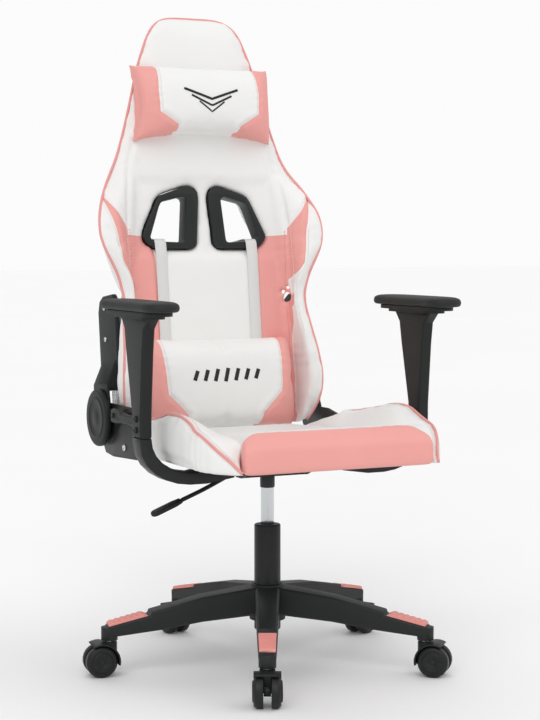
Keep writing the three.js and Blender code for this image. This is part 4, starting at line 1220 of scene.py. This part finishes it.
def baked_copy(node: str) -> bpy.types.Object:
    """A short-lived copy of a CAD node's mesh that pieces are laid on."""
    source = frame["nodes"][node]
    copy = bpy.data.objects.new("lay", source.data)
    bpy.context.view_layer.update()
    return copy


# ---- Backrest ----

# The line where the wing is sewn to the centre, as (x, z) of the backrest.
WING_SEAM = [
    (179, -34), (180, 60), (179, 157), (175, 205), (172, 265),
    (175, 369), (170, 430), (160, 500), (146, 548),
]
# The pink spike on each wing, between these two edges, from its foot to its tip.
SPIKE_INNER = [(262, 171), (369, 175), (437, 229)]
SPIKE_OUTER = [(262, 171), (296, 195), (368, 208), (437, 229)]
# The edge between the white middle and the pink strips of the centre.
STRIP_EDGE = [(-34, 104), (157, 108), (330, 113), (362, 140)]
STRIP_TOP = 356.0


@dataclass
class Backrest:
    """The winged cushion, the rear shell, the bezels, the piping and the straps."""

    palette: Palette
    piping: float = 2.6
    strap_width: float = 24.0
    strap_thickness: float = 2.2
    front: Padding = field(default_factory=lambda: Padding(5.0, 9, 4.0, 7.0))
    shell: Padding = field(default_factory=lambda: Padding(5.0, 4, 4.0, 6.0))

    def build(self) -> None:
        """Builds the backrest from its frame to its straps."""
        dress_node("back_frame", self.palette.painted, 0.8)
        for side in Side:
            dress_node(f"harness_bezel_{side.word}", self.palette.bezel, 2.4)
        self.build_front()
        self.build_shell()
        for side in Side:
            self.build_strap(side)

    def colours(self, g: Graph) -> bpy.types.NodeSocket:
        """Where the backrest is pink: the spikes on the wings and the strips of the centre."""
        side = g.math("ABSOLUTE", g.local_axis(BACK, BACK.across))
        rise = g.local_axis(BACK, BACK.up)
        inside = g.math("GREATER_THAN", side, g.curve(rise, SPIKE_INNER))
        inside = g.math("MULTIPLY", inside, g.math("LESS_THAN", side, g.curve(rise, SPIKE_OUTER)))
        inside = g.math("MULTIPLY", inside, g.math("GREATER_THAN", rise, SPIKE_INNER[0][0] * MM))
        inside = g.math("MULTIPLY", inside, g.math("LESS_THAN", rise, SPIKE_INNER[-1][0] * MM))
        strip = g.math("GREATER_THAN", side, g.curve(rise, STRIP_EDGE))
        seam = [(z, x) for x, z in WING_SEAM]
        strip = g.math("MULTIPLY", strip, g.math("LESS_THAN", side, g.curve(rise, seam)))
        strip = g.math("MULTIPLY", strip, g.math("LESS_THAN", rise, STRIP_TOP * MM))
        return g.math("MAXIMUM", inside, strip)

    def build_front(self) -> None:
        """Grows the front cushion, sews its panels and lays its piping and stitches."""
        skin = self.front.from_node("back_front_cushion", "back_cushion")
        holes = [local_box(f"harness_bezel_{side.word}", BACK) for side in Side]
        low, high = local_box("back_cushion", BACK)

        def freedom(points: np.ndarray, normals: np.ndarray) -> np.ndarray:
            forward = np.clip(-normals[:, 1] * 1.5, 0, 1)
            outward = np.clip(np.sign(points[:, 0]) * normals[:, 0] - 0.2, 0, 1)
            outward *= np.clip((-30 - points[:, 1]) / 20, 0, 1)
            upward = np.clip(normals[:, 2] * (points[:, 2] > 700), 0, 1)
            share = np.maximum.reduce([forward, outward * 0.8, upward * 0.5])
            for hole_low, hole_high in holes:
                gap = np.maximum.reduce([
                    hole_low[0] - points[:, 0], points[:, 0] - hole_high[0],
                    hole_low[2] - points[:, 2], points[:, 2] - hole_high[2],
                ])
                share = share * np.clip((gap - 2) / 22, 0, 1)
            return share

        self.front.inflated(skin, freedom, BACK)
        lines = both_sides(WING_SEAM) + both_sides([(x, z) for z, x in SPIKE_INNER[1:]])
        lines += both_sides([(x, z) for z, x in SPIKE_OUTER])
        sewn(skin, BACK, lines, (0, 2), (0, -1, 0), 2.6, 4.5, 1.0)
        strips = both_sides([(x, z) for z, x in STRIP_EDGE[:3]])
        sewn(skin, BACK, strips, (0, 2), (0, -1, 0), 1.6, 4.0, 0.6)
        for line in both_sides(WING_SEAM[:7]):
            puckered(skin, BACK, line, (0, 2), 0.45, 26.0, 20.0)
        dress(skin, Leather("back_leather", mask=self.colours).material())
        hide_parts("back_cushion")
        settle(skin, "backrest")
        surface = Surface(skin, BACK)
        self.rim_piping(surface, low, high)
        for side in Side:
            self.panel_stitches(surface, side)

    def rim_piping(self, surface: Surface, low: np.ndarray, high: np.ndarray) -> None:
        """Lays the piping round the front edge, up one side, over the top and down the other."""
        halves = []
        for side in Side:
            keep = np.sign(surface.local[:, 0]) == side.value
            levels = np.arange(low[2] + 8, high[2] - 8, 9)
            halves.append(surface.rim(2, levels, (side.value * 0.82, -0.57, 0), keep))
        right, left = halves
        top_right, top_left = right[-1], left[-1]
        over = []
        for x in np.linspace(top_right[0], top_left[0], 16)[1:-1]:
            near = np.abs(surface.local[:, 0] - x) < 6
            index = np.flatnonzero(near)
            reach = surface.local[index] @ np.array((0, -0.5, 0.87))
            over.append(surface.local[index[np.argsort(reach)[-6:]]].mean(0))
        path = smoothed([*right, *over, *left[::-1]], 5)
        points = [BACK.at(*p) for p in path]
        piping = swept("back_piping", points, circle(self.piping * MM))
        settle(piping, "backrest", self.palette.piping)

    def panel_stitches(self, surface: Surface, side: Side) -> None:
        """Sews the visible rows beside one wing's seams."""
        rows = {
            "wing_outer": ([(x + 5, z) for x, z in WING_SEAM[1:7]], self.palette.white_thread),
            "wing_inner": ([(x - 5, z) for x, z in WING_SEAM[1:6]], self.palette.pink_thread),
            "spike": ([(x + 4, z - 3) for z, x in SPIKE_OUTER[:-1]], self.palette.white_thread),
            "strip": ([(x - 4, z) for z, x in STRIP_EDGE[:3]], self.palette.white_thread),
        }
        for word, (line, thread) in rows.items():
            path = [(side.value * x, IN_FRONT, z) for x, z in refined(line, 8)]
            row = stitch_row(f"back_stitches_{word}_{side.word}", *surface.onto(path, (0, 1, 0)))
            settle(row, "backrest", thread)

    def build_shell(self) -> None:
        """Grows the rear shell with its sewn centre panel and rear piping."""
        skin = self.shell.from_node("back_rear_shell", "back_cover")
        low, high = local_box("back_cover", BACK)
        holes = [local_box(f"harness_bezel_{side.word}", BACK) for side in Side]

        def freedom(points: np.ndarray, normals: np.ndarray) -> np.ndarray:
            share = np.clip(normals[:, 1] * 1.5, 0, 1) * np.clip((200 - np.abs(points[:, 0])) / 30, 0.2, 1)
            for hole_low, hole_high in holes:
                gap = np.maximum.reduce([
                    hole_low[0] - points[:, 0], points[:, 0] - hole_high[0],
                    hole_low[2] - points[:, 2], points[:, 2] - hole_high[2],
                ])
                share = share * np.clip((gap - 2) / 26, 0, 1)
            return share

        self.shell.inflated(skin, freedom, BACK)
        yoke = [(-175.0, 296.0), (-90.0, 284.0), (90.0, 284.0), (175.0, 296.0)]
        upper = [(-150.0, 492.0), (0.0, 480.0), (150.0, 492.0)]
        spine = both_sides([(138, low[2] + 6), (140, 200), (136, 288)])
        sewn(skin, BACK, [yoke, upper, *spine], (0, 2), (0, 1, 0), 2.2, 4.5, 0.8)
        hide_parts("back_cover")
        settle(skin, "backrest", self.palette.white)
        surface = Surface(skin, BACK)
        for number, line in enumerate((yoke, upper, *spine), 1):
            path = [(x, 400, z + 4) for x, z in refined(line, 8)]
            row = stitch_row(f"shell_stitches_{number}", *surface.onto(path, (0, -1, 0)))
            settle(row, "backrest", self.palette.white_thread)
        halves = []
        for side in Side:
            keep = np.sign(surface.local[:, 0]) == side.value
            halves.append(surface.rim(2, np.arange(low[2] + 8, high[2] - 8, 9), (side.value * 0.8, 0.6, 0), keep))
        right, left = halves
        over = []
        for x in np.linspace(right[-1][0], left[-1][0], 16)[1:-1]:
            index = np.flatnonzero(np.abs(surface.local[:, 0] - x) < 6)
            reach = surface.local[index] @ np.array((0, 0.5, 0.87))
            over.append(surface.local[index[np.argsort(reach)[-6:]]].mean(0))
        path = smoothed([*right, *over, *left[::-1]], 5)
        piping = swept("shell_piping", [BACK.at(*p) for p in path], circle(self.piping * MM * 0.9))
        settle(piping, "backrest", self.palette.white)

    def build_strap(self, side: Side) -> None:
        """Lays one strap: up the front, through the harness hole and down the rear."""
        node = f"lumbar_strap_{side.word}"
        low, high = local_box(node, BACK)
        hole_low, hole_high = local_box(f"harness_bezel_{side.word}", BACK)
        x = (low[0] + high[0]) / 2
        face = low[1] - 6.2
        proud = hole_low[1] - 2.2
        rear = local_box("back_cover", BACK)[1][1] + 9.5
        bar = hole_low[2] + 17
        bottom = local_box("back_cushion", BACK)[0][2] - 3
        route = [
            (face, bottom + 20), (face, 60), (face, 180), (face, hole_low[2] - 12),
            (proud, hole_low[2] + 2), (proud, bar - 4), (proud + 4, bar + 1.5),
            (proud + 12, bar + 2.5), (rear - 12, bar + 2.5), (rear - 4, bar + 1), (rear, bar - 6),
            (rear, hole_low[2] - 20), (rear, 160), (rear, 40), (rear - 1, bottom + 10), (rear - 8, bottom - 1),
            (rear - 30, bottom - 3), (face + 12, bottom - 1), (face + 1, bottom + 8),
        ]
        loop = smoothed([np.array(p, float) for p in refined(route, 5)], 2, closed=True)
        points = [BACK.at(x, y, z) for y, z in loop]
        section = flat_section(self.strap_width * MM, self.strap_thickness * MM)
        strap = swept(f"{node}_webbing", points, section, closed=True, side=BACK.across)
        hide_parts(node)
        settle(strap, "backrest", self.palette.webbing)


# ---- Loose cushions ----


@dataclass
class CushionForm:
    """A stuffed cushion's form before it is inflated: flat behind, crowned in front."""

    low: np.ndarray
    high: np.ndarray
    top_share: float = 1.0
    pinch: float = 0.0
    hollow: float = 0.0
    ears: float = 0.0
    edge: float = 0.3
    power_across: float = 6.0
    power_up: float = 4.0
    columns: int = 44
    rows: int = 26

    def mesh(self, name: str) -> bpy.types.Object:
        """Builds the closed form.

        Args:
            name: The piece's name.

        Returns:
            The form, in place on the backrest.
        """
        half = (self.high[0] - self.low[0]) / 2
        middle, rise = (self.high[2] + self.low[2]) / 2, (self.high[2] - self.low[2]) / 2
        depth, back = self.high[1] - self.low[1], self.high[1]
        front_points, back_points = [], []
        for j in range(self.rows + 1):
            v = 2 * j / self.rows - 1
            for i in range(self.columns + 1):
                u = 2 * i / self.columns - 1
                width = half * (1 + (self.top_share - 1) * (v + 1) / 2)
                width -= self.pinch * (1 - v * v)
                z = middle + v * (rise - self.ears * (1 - u**4)) + self.hollow * (1 - u * u) * (1 - v) / 2
                crown = (1 - abs(u) ** self.power_across) ** 0.5 * (1 - abs(v) ** self.power_up) ** 0.5
                thickness = depth * (self.edge + (1 - self.edge) * crown)
                front_points.append(BACK.at(u * width, back - thickness, z))
                back_points.append(BACK.at(u * width, back, z))
        count, wide = len(front_points), self.columns + 1
        faces = []
        for j in range(self.rows):
            for i in range(self.columns):
                a, b = j * wide + i, j * wide + i + 1
                faces.append((a, b, b + wide, a + wide))
                faces.append((count + a, count + a + wide, count + b + wide, count + b))
        ring = (
            [i for i in range(wide)] + [j * wide + self.columns for j in range(1, self.rows + 1)]
            + [self.rows * wide + i for i in range(self.columns - 1, -1, -1)]
            + [j * wide for j in range(self.rows - 1, 0, -1)]
        )
        faces += [(b, a, a + count, b + count) for a, b in zip(ring, ring[1:] + ring[:1])]
        return mesh_object(name, front_points + back_points, faces)


def front_freedom(limit: float) -> Callable[[np.ndarray, np.ndarray], np.ndarray]:
    """Lets a cushion swell in front and at its sides, and holds its back flat."""

    def freedom(points: np.ndarray, normals: np.ndarray) -> np.ndarray:
        return np.clip((limit - points[:, 1]) / 14, 0, 1) * np.clip(1 - normals[:, 1], 0, 1)

    return freedom


@dataclass
class LumbarCushion:
    """The cushion at the small of the back, white with pink sides."""

    palette: Palette
    border: tuple[tuple[float, float], ...] = ((-34, 80), (-4, 83), (37, 123), (87, 126), (158, 131))
    padding: Padding = field(default_factory=lambda: Padding(5.0, 5, 4.0, 10.0))
    bars: int = 7
    bar_pitch: float = 22.0
    bar_half: float = 13.0
    bar_fall: float = 1.2
    bar_slant: float = 3.5
    bar_level: float = 72.0
    bar_width: float = 8.0
    bar_rise: float = 1.4

    def build(self) -> None:
        """Builds, inflates and sews the cushion, then adds its stitched bars."""
        low, high = local_box("lumbar_cushion", BACK)
        form = CushionForm(low + (3.0, 7.0, -6.0), high - (3.0, 0.0, 3.0), top_share=0.97, edge=0.42, power_up=3.2)
        skin = self.padding.rounded(form.mesh("lumbar_cushion_pad"))
        self.padding.inflated(skin, front_freedom(high[1]), BACK)
        lines = both_sides([(x, z) for z, x in self.border])
        sewn(skin, BACK, lines, (0, 2), (0, -1, 0), 2.4, 4.0, 1.2)
        for line in lines:
            puckered(skin, BACK, line, (0, 2), 0.5, 22.0, 18.0)
        dress(skin, Leather("lumbar_leather", mask=border_mask(self.border)).material())
        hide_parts("lumbar_cushion")
        settle(skin, "lumbar_cushion")
        surface = Surface(skin, BACK)
        border_stitches(surface, self.border, "lumbar", "lumbar_cushion", self.palette)
        self.bar_motif(surface)

    def bar_motif(self, surface: Surface) -> None:
        """Embroiders a row of slanted bars on the front."""
        for number in range(self.bars):
            place = number - (self.bars - 1) / 2
            x, tall = place * self.bar_pitch, self.bar_half - self.bar_fall * abs(place)
            foot = (x - self.bar_slant, IN_FRONT, self.bar_level - tall)
            line = refined([foot, (x + self.bar_slant, IN_FRONT, self.bar_level + tall)], 3)
            path, _ = surface.onto([tuple(p) for p in line], (0, 1, 0), 0.2)
            section = flat_section(self.bar_width * MM, self.bar_rise * MM)
            bar = swept(f"lumbar_bar_{number + 1}", path, section, side=BACK.across)
            settle(bar, "lumbar_cushion", self.palette.black_thread)


def border_mask(border: Sequence[tuple[float, float]]) -> Mask:
    """A cushion's pink sides, beyond a border given as (z, x) rows."""

    def mask(g: Graph) -> bpy.types.NodeSocket:
        side = g.math("ABSOLUTE", g.local_axis(BACK, BACK.across))
        return g.math("GREATER_THAN", side, g.curve(g.local_axis(BACK, BACK.up), border))

    return mask


def border_stitches(surface: Surface, border: Sequence[tuple[float, float]], word: str, body: str,
                    palette: Palette) -> None:
    """Sews a row of stitches on the white side of a cushion's border."""
    for side in Side:
        line = [(x - 4.5, z) for z, x in border]
        path = [(side.value * x, IN_FRONT, z) for x, z in refined(line, 7)]
        row = stitch_row(f"{word}_stitches_{side.word}", *surface.onto(path, (0, 1, 0)))
        settle(row, body, palette.white_thread)


@dataclass
class NeckPillow:
    """The pillow behind the neck, with drawn-out corners and a hollow lower edge."""

    palette: Palette
    border: tuple[tuple[float, float], ...] = ((530, 62), (547, 63), (572, 68), (596, 107), (640, 109), (704, 104))
    padding: Padding = field(default_factory=lambda: Padding(4.0, 4, 4.0, 9.0))

    def build(self) -> None:
        """Builds, inflates and sews the pillow, then adds its stitched chevrons."""
        low, high = local_box("headrest_pillow", BACK)
        inset = np.array((-3.0, 7.0, -2.0))
        form = CushionForm(low + inset, high - inset * (1, 0, 1), pinch=9.0, hollow=12.0, ears=5.0, edge=0.2,
                           power_across=4.5, power_up=2.6)
        skin = self.padding.rounded(form.mesh("neck_pillow_pad"))
        self.padding.inflated(skin, front_freedom(high[1]), BACK)
        lines = both_sides([(x, z) for z, x in self.border])
        sewn(skin, BACK, lines, (0, 2), (0, -1, 0), 2.2, 3.6, 1.2)
        for line in lines:
            puckered(skin, BACK, line, (0, 2), 0.5, 19.0, 16.0)
        dress(skin, Leather("pillow_leather", mask=border_mask(self.border)).material())
        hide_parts("headrest_pillow")
        settle(skin, "headrest_pillow")
        surface = Surface(skin, BACK)
        border_stitches(surface, self.border, "pillow", "headrest_pillow", self.palette)
        self.chevrons(surface)

    def chevrons(self, surface: Surface) -> None:
        """Embroiders three nested chevrons on the front."""
        for number, (half, drop, width) in enumerate(((58, 0, 4.6), (43, 13, 3.8), (27, 25, 3.0)), 1):
            corner = [(-half, 642 - drop), (0, 622 - drop), (half, 642 - drop)]
            path, _ = surface.onto([(x, IN_FRONT, z) for x, z in refined(corner, 4)], (0, 1, 0), 0.2)
            stroke = swept(f"pillow_chevron_{number}", path, flat_section(1.4 * MM, width * MM), side=BACK.rear)
            settle(stroke, "headrest_pillow", self.palette.black_thread)


# ---- Studio ----


@dataclass
class Studio:
    """The pale floor, the soft lights and the camera."""

    camera_offset: tuple[float, float, float] = (-1.4512, -2.9754, 0.8046)
    turn: float = -26.085
    tilt: float = 3.923
    lens: float = 88.15
    floor_reach: float = 40.0
    backdrop: float = 0.97
    fill: float = 0.6
    suns: tuple[tuple[tuple[float, float, float], float], ...] = (
        ((-0.9, -1.3, 1.5), 1.0),
        ((1.2, -0.6, 1.4), 0.45),
        ((0.2, 1.2, 1.6), 0.4),
    )

    def build(self) -> None:
        """Sets up the camera, the floor, the backdrop light and the lamps."""
        self.build_camera()
        self.build_floor()
        self.build_world()
        for number, (towards, power) in enumerate(self.suns, 1):
            self.build_light(f"soft_light_{number}", Vector(towards), power)

    def build_camera(self) -> None:
        """Makes the scene's camera."""
        data = bpy.data.cameras.new("camera")
        data.lens, data.sensor_width = self.lens, 36.0
        camera = bpy.data.objects.new("camera", data)
        camera.location = COLUMN.origin + Vector(self.camera_offset)
        camera.rotation_euler = (math.radians(90 - self.tilt), 0, math.radians(self.turn))
        bpy.context.scene.collection.objects.link(camera)
        bpy.context.scene.camera = camera

    def build_floor(self) -> None:
        """Makes the plain pale floor."""
        r = self.floor_reach
        floor = mesh_object("studio_floor", [(-r, -r, 0), (r, -r, 0), (r, r, 0), (-r, r, 0)], [(0, 1, 2, 3)])
        g = Graph("studio_floor")
        tone = g.noise(0.8, 2.0)
        dress(floor, g.finish(g.mix(tone, (0.93, 0.93, 0.93, 1), (0.96, 0.96, 0.96, 1)), g.ranged(tone, 0.7, 0.8),
                              g.bump(tone, 0.02, 0.001), Specular_IOR_Level=0.2))

    def build_world(self) -> None:
        """Lights the scene evenly from all round."""
        world = bpy.data.worlds.new("studio")
        world.use_nodes = True
        tree = world.node_tree
        seen = tree.nodes.new("ShaderNodeLightPath").outputs["Is Camera Ray"]
        level = tree.nodes.new("ShaderNodeMapRange")
        level.inputs["To Min"].default_value = self.fill
        level.inputs["To Max"].default_value = self.backdrop
        tree.links.new(seen, level.inputs["Value"])
        tree.nodes["Background"].inputs["Color"].default_value = (1, 1, 1, 1)
        tree.links.new(level.outputs["Result"], tree.nodes["Background"].inputs["Strength"])
        bpy.context.scene.world = world
        bpy.context.scene.view_settings.view_transform = "Standard"

    def build_light(self, name: str, towards: Vector, power: float) -> None:
        """Makes one broad even light that comes from a direction."""
        data = bpy.data.lights.new(name, "SUN")
        data.energy, data.angle = power, math.radians(50)
        light = bpy.data.objects.new(name, data)
        light.location = towards * 2
        light.rotation_euler = (-towards).to_track_quat("-Z", "Y").to_euler()
        bpy.context.scene.collection.objects.link(light)


def write_sizes() -> None:
    """Updates the view layer."""
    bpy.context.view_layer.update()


def main() -> None:
    """Builds the studio and then the chair, part by part."""
    logging.basicConfig(level=logging.INFO, format="%(message)s")
    Studio().build()
    palette = Palette()
    Base(palette).build()
    Seat(palette).build()
    Armrests(palette).build()
    Hinge(palette).build()
    Backrest(palette).build()
    LumbarCushion(palette).build()
    NeckPillow(palette).build()
    write_sizes()


if __name__ == "__main__":
    main()
